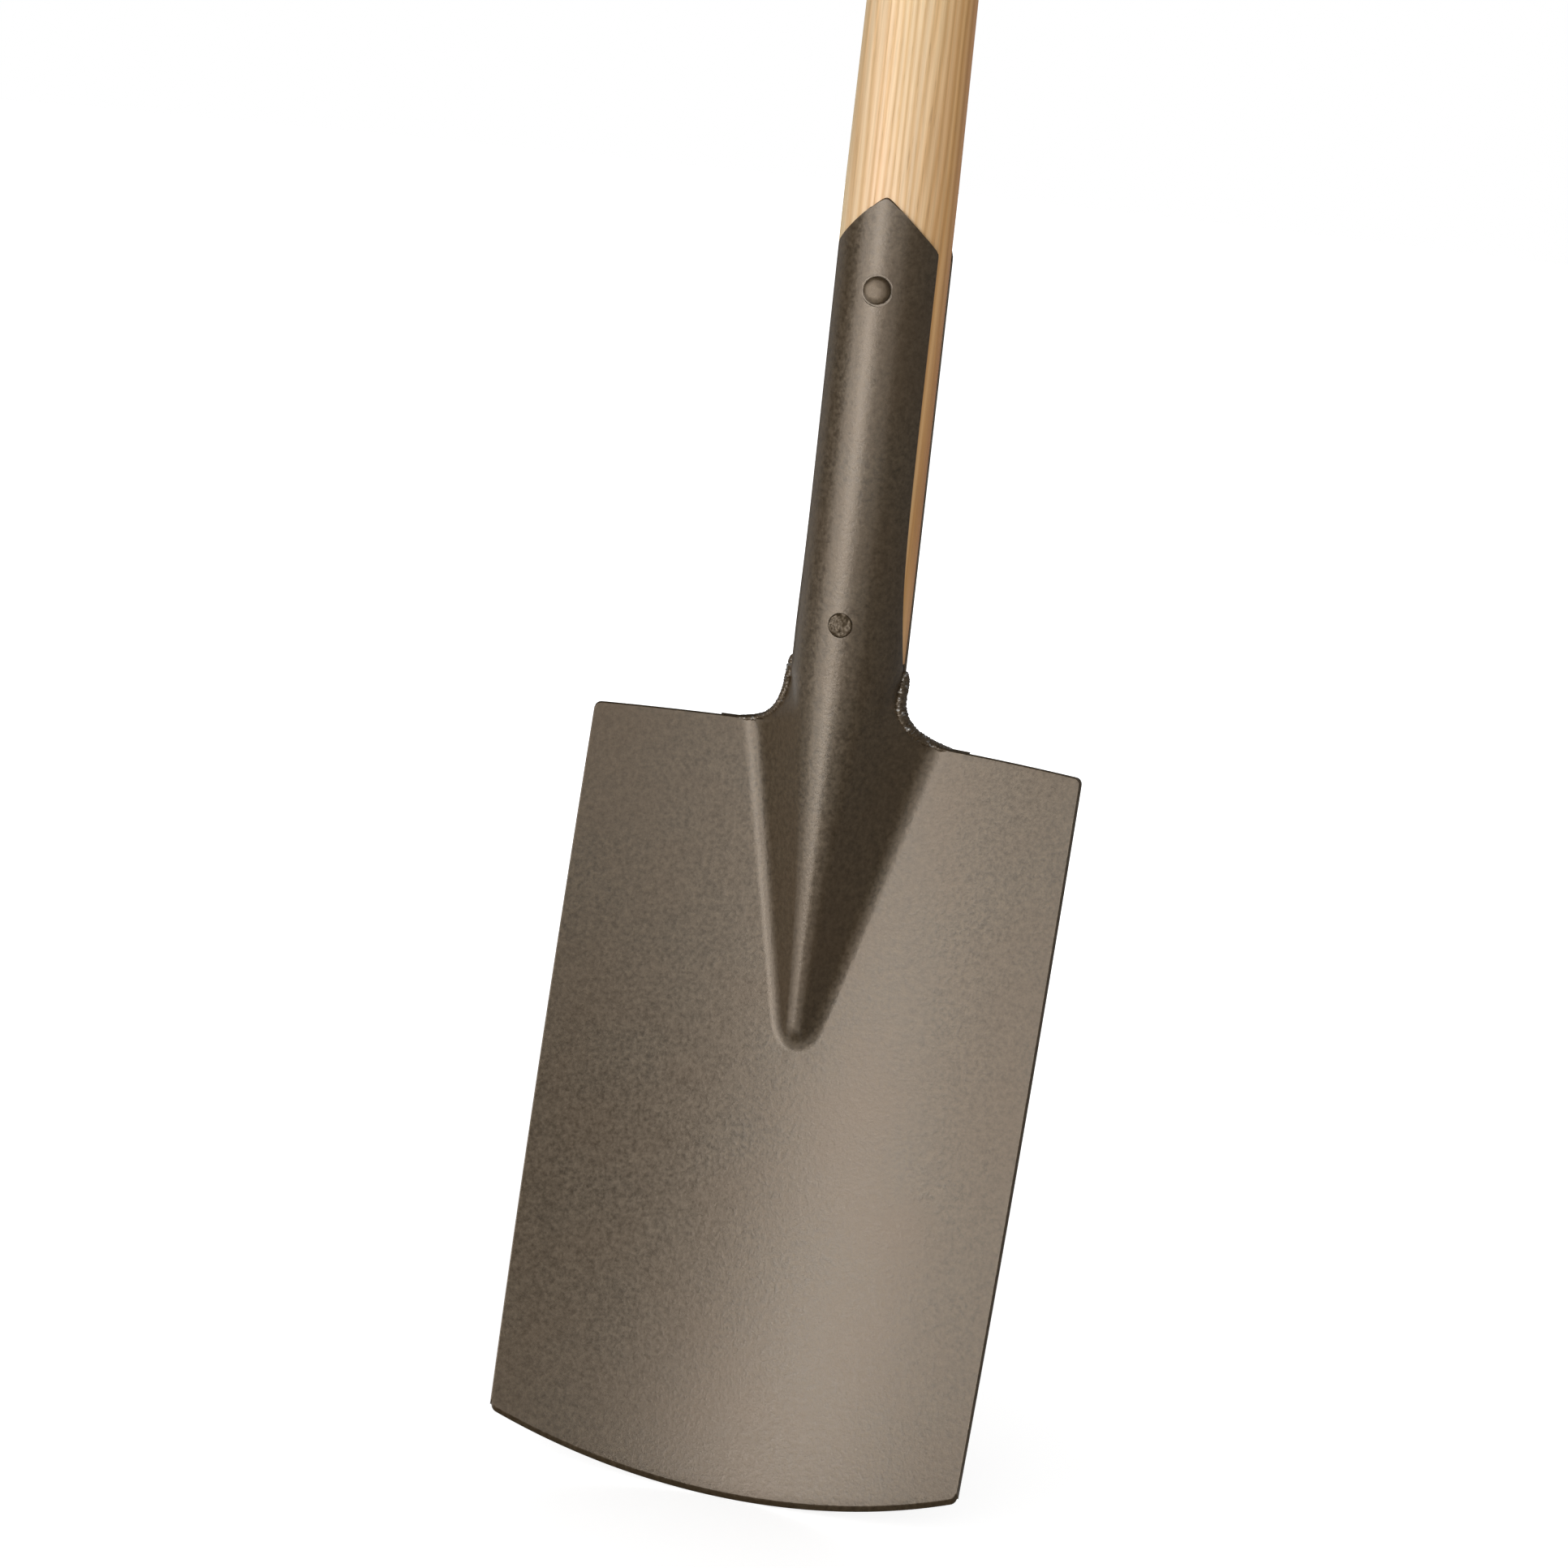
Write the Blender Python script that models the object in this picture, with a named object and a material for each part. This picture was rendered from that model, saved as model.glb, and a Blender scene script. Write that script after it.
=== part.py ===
"""Strapped digging spade: pressed blade with its front strap, rear strap, shaft and T grip.

Everything is in metres, +Z runs up the shaft and -Y is the front, the hollow side of the
blade. The origin is on the shaft's axis at the underside of the grip. Heights called s are
counted upwards from the blade's shoulders, where the empty named head stands.
"""
import math

import bmesh
import bpy
from mathutils import Vector

# Whole tool
SHAFT_REACH = 0.794              # from the shoulders up to the underside of the grip
CLEARANCE = 0.0003               # free gap between neighbouring pieces

# Blade
BLADE_LENGTH = 0.2797            # shoulders to the middle of the cutting edge
SHOULDER_WIDTH = 0.1842
CUTTING_WIDTH = 0.1774
SIDE_CURVE = 2.2                 # power with which the sides draw in towards the cutting edge
CUTTING_EDGE_RADIUS = 0.208      # of the cutting edge, seen from the front
UPPER_CORNER_RADIUS = 0.0024
LOWER_CORNER_RADIUS = 0.0030
SHEET = 0.0022                   # thickness of the blade and of both straps
BEVEL_DEPTH = 0.0011             # taken off the front along the cutting edge
BEVEL_WIDTH = 0.0030
LEAN = math.radians(12.77)       # of the blade, forwards, from the shaft's line
BLADE_SETBACK = 0.0052           # of the face behind the shaft's axis, at the shoulders
DISH_TOP = 0.0150                # how far the sides stand forward of the middle, at the top
DISH_BOTTOM = 0.0142             # the same at the cutting edge

# Ridge pressed into the blade in line with the shaft
RIDGE_LENGTH = 0.1170
RIDGE_HALF_WIDTH = 0.0394
RIDGE_TIP_HALF_WIDTH = 0.0078
RIDGE_TIP_HEIGHT = 0.0029
RIDGE_TIP_CREST_RADIUS = 0.0030
CREST_SPREAD = 1.6               # power with which the crest widens towards the strap
RIDGE_TIP_ROUNDING = 0.0110
RIDGE_TIP_BLUNTNESS = 0.5        # share of the ridge's width that is left where it ends
RIDGE_FOOT_RADIUS_TOP = 0.0140
RIDGE_FOOT_RADIUS_TIP = 0.0075
UPRIGHT_POWER = 3                # with which the ridge's flanks turn upright in the neck

# Neck, where both straps close round the shaft and flare into the shoulders
NECK_JOIN = 0.0242               # height at which the straps' edges come together
NECK_FILLET = 0.0185             # radius from the neck to the shoulders, seen from the front
SEAM_GAP = 0.0016                # between the straps' edges where they come together
LAP_GAP = 0.0005                 # between the blade's back and the tongue behind it

# Straps
SHAFT_DIAMETER = 0.0407          # just above the straps
STRAP_PROUD = 0.0007             # how far the straps stand out of the wood
FRONT_STRAP_REACH = 0.1983       # height of the front strap's point
REAR_STRAP_REACH = 0.1950
STRAP_POINT_DROP = 0.0168        # from a strap's point down to its corners
FRONT_STRAP_ANGLE = math.radians(62.0)   # half of what it wraps, at its corners
REAR_STRAP_ANGLE = math.radians(76.0)
CLOSING_ANGLE = math.radians(88.0)       # half of what either wraps at the neck
CLOSING_POWER = 7                # with which the straps close; most of it happens low down

# Tongue of the rear strap, which closes the hollow behind the ridge
TONGUE_MARGIN = 0.0075           # outside the ridge's foot
TONGUE_TIP_ROUNDING = 0.0120
TONGUE_TIP_BLUNTNESS = 0.3       # share of the tongue's width that is left where it ends
TONGUE_OVERREACH = 0.0110        # past the ridge's tip
BACK_BEND_HEIGHT = 0.0180        # where the back of the socket bends forwards
SWELL_LENGTH = 0.0970            # below the shoulders, where the tongue's swelling runs out
BEND_SOFTNESS = 0.0010
SECTION_HANDLE = 0.39            # fullness of the rear strap's section
EDGE_TURN_POWER = 0.7            # with which the section's edge turns forwards in the neck

# Shaft
SHAFT_WAIST_DIAMETER = 0.0368    # above the taper
SHAFT_TAPER = 0.2400             # height of the taper over the straps
SHAFT_TAPER_POWER = 1.2
SHAFT_TOP_DIAMETER = 0.0340      # just under the grip
SHAFT_TOP_TAPER = 0.1200
SHAFT_SINK = 0.0620              # how far the shaft's end goes below the shoulders
SHAFT_END_ROUNDING = 0.0060
SHAFT_END_BLUNTNESS = 0.6        # share of the section that is left at the shaft's end
SOCKET_MOUTH = 0.0056            # over the neck's join, where the wood has its full size
SOCKET_STEP = 0.0015
SOCKET_PLAY = 0.0005             # between the shaft and the socket's walls

# Rivets
UPPER_RIVET_DROP = 0.0326        # from the front strap's point down to the rivet
LOWER_RIVET_RISE = 0.0202        # over the neck's join
RIVET_DIAMETER = 0.0060
RIVET_HEAD_DIAMETER = 0.0100
RIVET_HEAD_RISE = 0.0020         # of the domed head over the strap
DOME_FLAT = 0.09                 # share of the dome's arc that is flat, at its top
RIVET_FLUSH_DIAMETER = 0.0085
RIVET_FLUSH_RISE = 0.0003        # of the hammered end over the strap
FLUSH_EDGE_SHARE = 0.95          # of the hammered end's radius, half way up its edge
FLUSH_TOP_SHARE = 0.6            # and on top
HEAD_SEAT_DEPTH = 0.0007         # flat seat sunk into the strap under a domed head
FLUSH_SEAT_DEPTH = 0.0006        # straight part of the seat round a hammered end
FLUSH_CONE_DEPTH = 0.0016

# Weld along the neck
WELD_HEIGHT_TOP = 0.0024
WELD_HEIGHT_SHOULDER = 0.0006
WELD_HALF_WIDTH_TOP = 0.0018
WELD_HALF_WIDTH_SHOULDER = 0.0027
WELD_START = 0.0012              # below the neck's join
WELD_SHOULDER_RUN = 0.0015       # along the shoulder, past the neck's fillet
WELD_CLEARANCE = 0.0004
WELD_END_SHARE = 0.55            # of the bead's size that is left at its two ends

# Grip
GRIP_LENGTH = 0.1300
GRIP_DIAMETER = 0.0380
GRIP_PLAIN_LENGTH = 0.0800       # middle part with one diameter
GRIP_END_DIAMETER = 0.0310
GRIP_END_ROUNDING = 0.0060
GRIP_TAPER_POWER = 1.6
TENON_DIAMETER = 0.0220
TENON_RISE = 0.0004              # of the tenon's end over the grip
WEDGE_WIDTH = 0.0170
WEDGE_THICKNESS = 0.0028
WEDGE_TIP_THICKNESS = 0.0010
WEDGE_DEPTH = 0.0180
PIN_DIAMETER = 0.0050
PIN_HEIGHT = 0.0100              # over the grip's underside

# Fineness of the meshes
BAND_STEPS = (0.0, 0.13, 0.26, 0.39, 0.52, 0.66, 0.79, 0.90, 1.0)
WING_STEPS = (0.08, 0.20, 0.36, 0.56, 0.76, 0.92, 1.0)
CORNER_STEPS = (0.5, 0.85, 1.0)
FLANGE_STEPS = (0.5, 1.0)
STRAP_ROWS = (1.0, 0.94, 0.82, 0.62, 0.42, 0.27, 0.17, 0.09, 0.04, 0.0)
NECK_ROWS = (0.84, 0.66, 0.48, 0.31, 0.17, 0.08, 0.03, 0.0)
TIP_ROWS = (0.8, 0.6, 0.42, 0.25, 0.1, -0.1)
TONGUE_TIP_ROWS = (1.0, 0.6, 0.3, 0.1, 0.0)
SHAFT_END_ROWS = (0.0, 0.1, 0.35, 1.0)
TAPER_ROWS = (0.25, 0.5, 0.75, 0.9, 1.0)
RIDGE_ROWS = 10
LOWER_ROWS = 9
LOWER_BAND_SHARE = 1 / 3         # of the cutting edge's length that the middle columns take
TONGUE_ROWS = 10
SOCKET_ROWS = 6
DOME_ROWS = 6
WELD_STRAIGHT_ROWS = 3
WELD_CURVE_ROWS = 9
GRIP_TAPER_ROWS = 4
GRIP_END_ROWS = 5
BISECTIONS = 40
PLACE_ROUNDS = 5                 # of settling a point's height and distance from the middle
SECTION_POINTS = 16
SHAFT_SEGMENTS = 40
GRIP_SEGMENTS = 32
RIVET_SEGMENTS = 24
WELD_SEGMENTS = 8
SHARP_ANGLE = math.radians(35)

# Materials: linear red, green and blue, roughness and metallic value
SHEET_COLOUR = (0.150, 0.122, 0.096)
RIVET_COLOUR = (0.210, 0.180, 0.150)
WELD_COLOUR = (0.170, 0.140, 0.112)
ASH_COLOUR = (0.640, 0.440, 0.260)
WEDGE_COLOUR = (0.470, 0.290, 0.150)
METAL_ROUGHNESS, METAL_METALLIC = 0.42, 0.85
WOOD_ROUGHNESS, WOOD_METALLIC = 0.6, 0.0

# Sizes that follow from the ones above
STRAP_RADIUS = SHAFT_DIAMETER / 2 + STRAP_PROUD
POCKET_RADIUS = STRAP_RADIUS - SHEET - CLEARANCE
SHOULDER_HALF = SHOULDER_WIDTH / 2
CUTTING_HALF = CUTTING_WIDTH / 2
GRIP_RADIUS = GRIP_DIAMETER / 2
UPPER_RIVET_HEIGHT = FRONT_STRAP_REACH - UPPER_RIVET_DROP
LOWER_RIVET_HEIGHT = NECK_JOIN + LOWER_RIVET_RISE
NECK_CENTRE = STRAP_RADIUS + NECK_FILLET
RIDGE_TIP = -RIDGE_LENGTH
TONGUE_TIP = -RIDGE_LENGTH - TONGUE_OVERREACH
LAP_DEPTH = SHEET + LAP_GAP


def mix(a, b, t):
    """Value at t between a and b."""
    return a + (b - a) * t


def clamp(value, low=0.0, high=1.0):
    """Value held between low and high."""
    return max(low, min(high, value))


def rounding(t):
    """Quarter of a circle from 0 to 1."""
    return math.sqrt(1 - (1 - clamp(t)) ** 2)


def easing(t):
    """Soft passage from 0 to 1."""
    t = clamp(t)
    return t * t * (3 - 2 * t)


def soft_max(a, b):
    """Larger of two values, with a soft passage from one to the other."""
    return (a + b + math.hypot(a - b, BEND_SOFTNESS)) / 2


def bisect(function, low, high):
    """Place between low and high where a rising function passes zero."""
    for _ in range(BISECTIONS):
        middle = (low + high) / 2
        if function(middle) > 0:
            high = middle
        else:
            low = middle
    return (low + high) / 2


# Face of the blade


def half_width(s):
    """Half of the blade's width at height s."""
    share = clamp(-s / BLADE_LENGTH)
    return mix(SHOULDER_HALF, CUTTING_HALF, share ** SIDE_CURVE)


def dish(x, s):
    """How far the dished face stands forward of its middle line."""
    depth = mix(DISH_TOP, DISH_BOTTOM, clamp(-s / BLADE_LENGTH))
    return depth * (x / SHOULDER_HALF) ** 2 / math.cos(LEAN)


def floor_line(s):
    """Y of the middle of the blade's face, without its ridge."""
    return BLADE_SETBACK + s * math.tan(LEAN)


def floor_point(x, s, depth=0.0):
    """Point (x, y) of the dished face, or at a depth behind it, square to it."""
    slope = -2 * dish(x, s) / x if x else 0.0
    length = math.hypot(1.0, slope)
    return x - slope / length * depth, floor_line(s) - dish(x, s) + depth / length


def ridge_share(s):
    """0 at the ridge's tip, 1 at the neck's join."""
    return clamp((s - RIDGE_TIP) / (NECK_JOIN - RIDGE_TIP))


def crest_line(s):
    """Y of the ridge's crest, which runs on straight from the front strap."""
    tip = floor_line(RIDGE_TIP) - RIDGE_TIP_HEIGHT
    return mix(tip, -STRAP_RADIUS, ridge_share(s))


def foot_half_width(s):
    """Distance from the middle to the ridge's foot."""
    return mix(RIDGE_HALF_WIDTH, RIDGE_TIP_HALF_WIDTH, min(-s / RIDGE_LENGTH, 1.0))


def ridge_arcs(s):
    """Radii of the ridge's crest and foot, as large as fits, and the slope of its flanks,
    which turn upright where the neck becomes a tube."""
    width, height = foot_half_width(s), floor_line(s) - crest_line(s)
    crest = mix(RIDGE_TIP_CREST_RADIUS, STRAP_RADIUS, ridge_share(s) ** CREST_SPREAD)
    foot = mix(RIDGE_FOOT_RADIUS_TOP, RIDGE_FOOT_RADIUS_TIP, clamp(-s / RIDGE_LENGTH))
    diagonal = width ** 2 + height ** 2
    held = min(1.0, diagonal / (2 * height * (crest + foot)))
    rest = max(diagonal - 2 * height * held * (crest + foot), 0.0)
    angle = 2 * math.atan(height / (width + math.sqrt(rest)))
    upright = clamp(s / NECK_JOIN) ** UPRIGHT_POWER
    return crest * held, foot * held, mix(angle, math.pi / 2, upright)


def plain_ridge(s):
    """Half section of the ridge over a flat floor: crest arc, flank and foot arc."""
    crest, foot, angle = ridge_arcs(s)
    turns = [angle * k / SECTION_POINTS for k in range(SECTION_POINTS + 1)]
    points = [(crest * math.sin(t), crest_line(s) + crest * (1 - math.cos(t))) for t in turns]
    x, y = points[-1]
    base = floor_line(s)
    foot_top = base - foot * (1 - math.cos(angle))
    end_x = x + max(foot_top - y, 0.0) / math.tan(angle)
    for k in range(1, SECTION_POINTS):
        t = k / SECTION_POINTS
        points.append((mix(x, end_x, t), mix(y, foot_top, t)))
    for turn in reversed(turns):
        points.append((end_x + foot * (math.sin(angle) - math.sin(turn)),
                       base - foot * (1 - math.cos(turn))))
    return points


def ridge_section(s):
    """Half section of the blade's face from the ridge's crest to its foot."""
    base = floor_line(s)
    height = base - crest_line(s)
    tip_share = (s - RIDGE_TIP) / RIDGE_TIP_ROUNDING
    swell = easing(tip_share)
    squeeze = mix(RIDGE_TIP_BLUNTNESS, 1.0, rounding(tip_share))
    dished = 1 - clamp(s / NECK_JOIN)
    points = []
    for x, y in plain_ridge(s):
        rise = swell * (base - y) / height
        points.append((x * squeeze, base - rise * height - dish(x, s) * (1 - rise) * dished))
    return points


def cut_section(points, x_limit, y_limit):
    """Section cut off where it first passes x_limit or y_limit."""
    kept = [points[0]]
    for a, b in zip(points, points[1:]):
        share = 1.0
        if b[0] > x_limit:
            share = min(share, (x_limit - a[0]) / (b[0] - a[0]))
        if b[1] > y_limit:
            share = min(share, (y_limit - a[1]) / (b[1] - a[1]))
        kept.append((mix(a[0], b[0], share), mix(a[1], b[1], share)))
        if share < 1.0:
            break
    return kept


def sample(points, share, depth=0.0):
    """Point at a share of a section's length, or at a depth behind it, square to it."""
    lengths = [0.0]
    for a, b in zip(points, points[1:]):
        lengths.append(lengths[-1] + math.dist(a, b))
    place = share * lengths[-1]
    k = 0
    while k < len(points) - 2 and lengths[k + 1] < place:
        k += 1
    a, b = points[k], points[k + 1]
    t = (place - lengths[k]) / (lengths[k + 1] - lengths[k])
    before = points[k - 1] if k else (-b[0], b[1])
    after = points[min(k + 2, len(points) - 1)] if share else b
    along_x, along_y = after[0] - before[0], after[1] - before[1]
    length = math.hypot(along_x, along_y)
    return (mix(a[0], b[0], t) - along_y / length * depth,
            mix(a[1], b[1], t) + along_x / length * depth)


# Outlines, seen from the front


def neck_outline(s):
    """Distance from the middle to the edge of the metal in the neck."""
    if s >= NECK_FILLET:
        return STRAP_RADIUS
    return NECK_CENTRE - math.sqrt(NECK_FILLET ** 2 - (NECK_FILLET - s) ** 2)


def shoulder_line(x):
    """Height of the blade's upper edge at a distance x from the middle."""
    if x < NECK_CENTRE:
        return NECK_FILLET - math.sqrt(NECK_FILLET ** 2 - (NECK_CENTRE - x) ** 2)
    over = clamp(x - (SHOULDER_HALF - UPPER_CORNER_RADIUS), 0.0, UPPER_CORNER_RADIUS)
    return math.sqrt(UPPER_CORNER_RADIUS ** 2 - over ** 2) - UPPER_CORNER_RADIUS


def cutting_line(x):
    """Height of the cutting edge at a distance x from the middle."""
    rise = CUTTING_EDGE_RADIUS - math.sqrt(CUTTING_EDGE_RADIUS ** 2 - x ** 2)
    over = clamp(x - (CUTTING_HALF - LOWER_CORNER_RADIUS), 0.0, LOWER_CORNER_RADIUS)
    corner = LOWER_CORNER_RADIUS - math.sqrt(LOWER_CORNER_RADIUS ** 2 - over ** 2)
    return rise + corner - BLADE_LENGTH


# Height at which the ridge's foot meets the neck's outline
NECK_FOOT = bisect(lambda s: foot_half_width(s) - neck_outline(s), 0.0, NECK_FILLET / 2)


def neck_section(s):
    """Half section of the front sheet in the neck, up to the neck's outline."""
    y_limit = -SEAM_GAP / 2 if s >= NECK_FILLET else math.inf
    return cut_section(ridge_section(s), neck_outline(s), y_limit)


# Rear strap


def back_line(s):
    """Y of the middle of the rear strap's back."""
    tongue_end = floor_line(-SWELL_LENGTH) + LAP_DEPTH + SHEET
    bend_share = (BACK_BEND_HEIGHT - s) / (BACK_BEND_HEIGHT + SWELL_LENGTH)
    sloping = mix(STRAP_RADIUS, tongue_end, bend_share)
    straight = -soft_max(-STRAP_RADIUS, -sloping)
    return soft_max(straight, floor_line(s) + LAP_DEPTH + SHEET)


def rear_edge(s):
    """End of the rear strap's half section and the way it points there."""
    if s > NECK_FOOT:
        share = s / NECK_JOIN
        y = neck_section(s)[-1][1] + mix(LAP_DEPTH + SHEET, SEAM_GAP, share)
        return neck_outline(s), y, -math.pi / 2 * share ** EDGE_TURN_POWER
    x = foot_half_width(s)
    return *floor_point(x, s, LAP_DEPTH + SHEET), math.atan(-2 * dish(x, s) / x)


def rear_section(s):
    """Half section of the rear strap's back, from the middle outwards."""
    x, y, angle = rear_edge(s)
    top = back_line(s)
    handle = SECTION_HANDLE * math.hypot(x, top - y)
    curve = ((0.0, top), (handle, top),
             (x - handle * math.cos(angle), y - handle * math.sin(angle)), (x, y))
    points = []
    for k in range(2 * SECTION_POINTS + 1):
        t = k / (2 * SECTION_POINTS)
        weights = ((1 - t) ** 3, 3 * t * (1 - t) ** 2, 3 * t * t * (1 - t), t ** 3)
        points.append(tuple(sum(w * p[i] for w, p in zip(weights, curve)) for i in (0, 1)))
    return points


def tongue_squeeze(s):
    """Share of the tongue's width that its rounded tip leaves at height s."""
    return mix(TONGUE_TIP_BLUNTNESS, 1.0, rounding((s - TONGUE_TIP) / TONGUE_TIP_ROUNDING))


def strap_angle(s, corner_height, corner_angle):
    """Half of what a strap wraps at height s."""
    share = clamp((corner_height - s) / (corner_height - NECK_JOIN))
    return mix(corner_angle, CLOSING_ANGLE, share ** CLOSING_POWER)


# Building blocks


def add_object(name, mesh, material, parent=None):
    """Visible object with its material."""
    mesh.materials.append(material)
    mesh.shade_smooth()
    mesh.set_sharp_from_angle(angle=SHARP_ANGLE)
    obj = bpy.data.objects.new(name, mesh)
    obj.parent = parent
    bpy.context.scene.collection.objects.link(obj)
    return obj


def add_cutter(name, mesh, parent=None):
    """Object that only cuts others."""
    obj = bpy.data.objects.new(name, mesh)
    obj.hide_render = True
    obj.display_type = "WIRE"
    obj.parent = parent
    bpy.context.scene.collection.objects.link(obj)
    return obj


def cut(obj, *cutters):
    """Takes cutters away from an object."""
    for cutter in cutters:
        modifier = obj.modifiers.new("without_" + cutter.name, "BOOLEAN")
        modifier.operation = "DIFFERENCE"
        modifier.solver = "EXACT"
        modifier.object = cutter


def finish_mesh(name, bm):
    """Mesh datablock with its faces pointing out."""
    bmesh.ops.recalc_face_normals(bm, faces=bm.faces)
    mesh = bpy.data.meshes.new(name)
    bm.to_mesh(mesh)
    bm.free()
    return mesh


def sheet_mesh(name, outer, inner, cells):
    """Closed sheet between two matching grids of points."""
    bm = bmesh.new()
    outer_verts = {key: bm.verts.new(point) for key, point in outer.items()}
    inner_verts = {key: bm.verts.new(point) for key, point in inner.items()}
    rim = set()
    for i, j in cells:
        loop = [(i, j), (i + 1, j), (i + 1, j + 1), (i, j + 1)]
        bm.faces.new([outer_verts[key] for key in loop])
        bm.faces.new([inner_verts[key] for key in reversed(loop)])
        for a, b in zip(loop, loop[1:] + loop[:1]):
            if (b, a) in rim:
                rim.remove((b, a))
            else:
                rim.add((a, b))
    for a, b in sorted(rim):
        bm.faces.new([outer_verts[b], outer_verts[a], inner_verts[a], inner_verts[b]])
    return finish_mesh(name, bm)


def loft_mesh(name, rings):
    """Closed mesh through rings of points, with both ends filled."""
    bm = bmesh.new()
    loops = [[bm.verts.new(point) for point in ring] for ring in rings]
    for low, high in zip(loops, loops[1:]):
        for k, vert in enumerate(low):
            after = (k + 1) % len(low)
            bm.faces.new([vert, low[after], high[after], high[k]])
    bm.faces.new(list(reversed(loops[0])))
    bm.faces.new(loops[-1])
    return finish_mesh(name, bm)


def turned_mesh(name, profile, centre, axis, segments):
    """Closed turned mesh from pairs of a place along the axis and a radius."""
    axis = Vector(axis)
    across = Vector((0, 0, 1)) if axis.z == 0 else Vector((1, 0, 0))
    side = axis.cross(across)
    turns = [2 * math.pi * k / segments for k in range(segments)]
    rings = []
    for along, radius in profile:
        middle = Vector(centre) + axis * along
        rings.append([middle + (across * math.cos(t) + side * math.sin(t)) * radius
                      for t in turns])
    return loft_mesh(name, rings)


def symmetric(steps):
    """Column numbers, shares and sides of the middle, from left to right."""
    count = len(steps) - 1
    return [(j, steps[abs(j)], -1 if j < 0 else 1) for j in range(-count, count + 1)]


def sheet_cells(rows, shoulder_row, band, wing):
    """Cells of a T-shaped grid: a narrow band that widens at its shoulder row."""
    cells = []
    for i in range(rows - 1):
        reach = band if i < shoulder_row else band + wing
        cells += [(i, j) for j in range(-reach, reach)]
    return cells


def strap_grid(reach, angle, facing, outer_radius, inner_radius, margin=0.0):
    """Grids of a strap round the shaft, from its point down to the neck's join."""
    corner = reach - STRAP_POINT_DROP
    grids = ({}, {})
    for row, share in enumerate(STRAP_ROWS):
        for j, step, side in symmetric(BAND_STEPS):
            s = mix(NECK_JOIN - margin, reach + margin - STRAP_POINT_DROP * step, share)
            turn = step * (strap_angle(s, corner, angle) + margin / STRAP_RADIUS)
            for grid, radius in zip(grids, (outer_radius, inner_radius)):
                grid[row, j] = (side * radius * math.sin(turn),
                                -facing * radius * math.cos(turn), s)
    return grids


def add_band_row(grids, row, section, depths, s):
    """Row of the middle columns along one section."""
    for grid, depth in zip(grids, depths):
        for j, step, side in symmetric(BAND_STEPS):
            x, y = sample(section, step, depth)
            grid[row, j] = (side * x, y, s)


def add_pair(grid, row, column, x, y, s):
    """Point and its mirror image."""
    grid[row, column] = (x, y, s)
    grid[row, -column] = (-x, y, s)


# Blade


def middle_half_width(s):
    """Half width of the middle columns at height s."""
    if s > RIDGE_TIP:
        return min(ridge_section(s)[-1][0], foot_half_width(NECK_FOOT))
    tip = RIDGE_TIP_HALF_WIDTH * RIDGE_TIP_BLUNTNESS
    lower_share = (RIDGE_TIP - s) / (BLADE_LENGTH - RIDGE_LENGTH)
    return mix(tip, CUTTING_HALF * LOWER_BAND_SHARE, lower_share)


def blade_shares():
    """Shares of the way down the blade at which its rows lie."""
    end = RIDGE_TIP + RIDGE_TIP_ROUNDING
    heights = [end * k / RIDGE_ROWS for k in range(1, RIDGE_ROWS + 1)]
    heights += [RIDGE_TIP + RIDGE_TIP_ROUNDING * k for k in TIP_ROWS]
    lower = BLADE_LENGTH - RIDGE_LENGTH
    heights += [RIDGE_TIP - lower * k / LOWER_ROWS for k in range(1, LOWER_ROWS)]
    heights += [BEVEL_WIDTH - BLADE_LENGTH, -BLADE_LENGTH]
    return [-s / BLADE_LENGTH for s in heights]


def blade_place(top, share, inner_share, outer_share):
    """Distance from the middle and height of a point in a row and a column of the blade."""
    s = mix(top, -BLADE_LENGTH, share)
    x = 0.0
    for _ in range(PLACE_ROUNDS):
        inner = middle_half_width(s) * inner_share
        x = mix(inner, half_width(s), outer_share)
        s = mix(top, cutting_line(min(x, CUTTING_HALF)), share)
    return x, s


def blade_point(x, s, step, depth):
    """Point (x, y) of the blade: on its ridge for a step of the band, else on its face."""
    if s > RIDGE_TIP and step is not None:
        return sample(ridge_section(s), step, depth)
    return floor_point(x, s, depth)


def add_blade_row(grids, row, share):
    """Middle columns of one row of the blade."""
    depths = (BEVEL_DEPTH if share == 1.0 else 0.0, SHEET)
    for column, step in enumerate(BAND_STEPS):
        x, s = blade_place(NECK_FOOT, share, step, 0.0)
        for grid, depth in zip(grids, depths):
            add_pair(grid, row, column, *blade_point(x, s, step, depth), s)


def wing_starts():
    """Places of the wing's columns along the shoulder, as distances from the middle."""
    inner = foot_half_width(NECK_FOOT)
    outer = SHOULDER_HALF - UPPER_CORNER_RADIUS
    starts = [mix(inner, outer, step) for step in WING_STEPS]
    return starts + [outer + UPPER_CORNER_RADIUS * step for step in CORNER_STEPS]


def add_wing_row(grids, row, share):
    """Outer columns of one row of the blade."""
    inner = foot_half_width(NECK_FOOT)
    depths = (BEVEL_DEPTH if share == 1.0 else 0.0, SHEET)
    for k, start in enumerate(wing_starts()):
        outer_share = (start - inner) / (SHOULDER_HALF - inner)
        x, s = blade_place(shoulder_line(start), share, 1.0, outer_share)
        for grid, depth in zip(grids, depths):
            add_pair(grid, row, len(BAND_STEPS) + k, *blade_point(x, s, None, depth), s)


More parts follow.
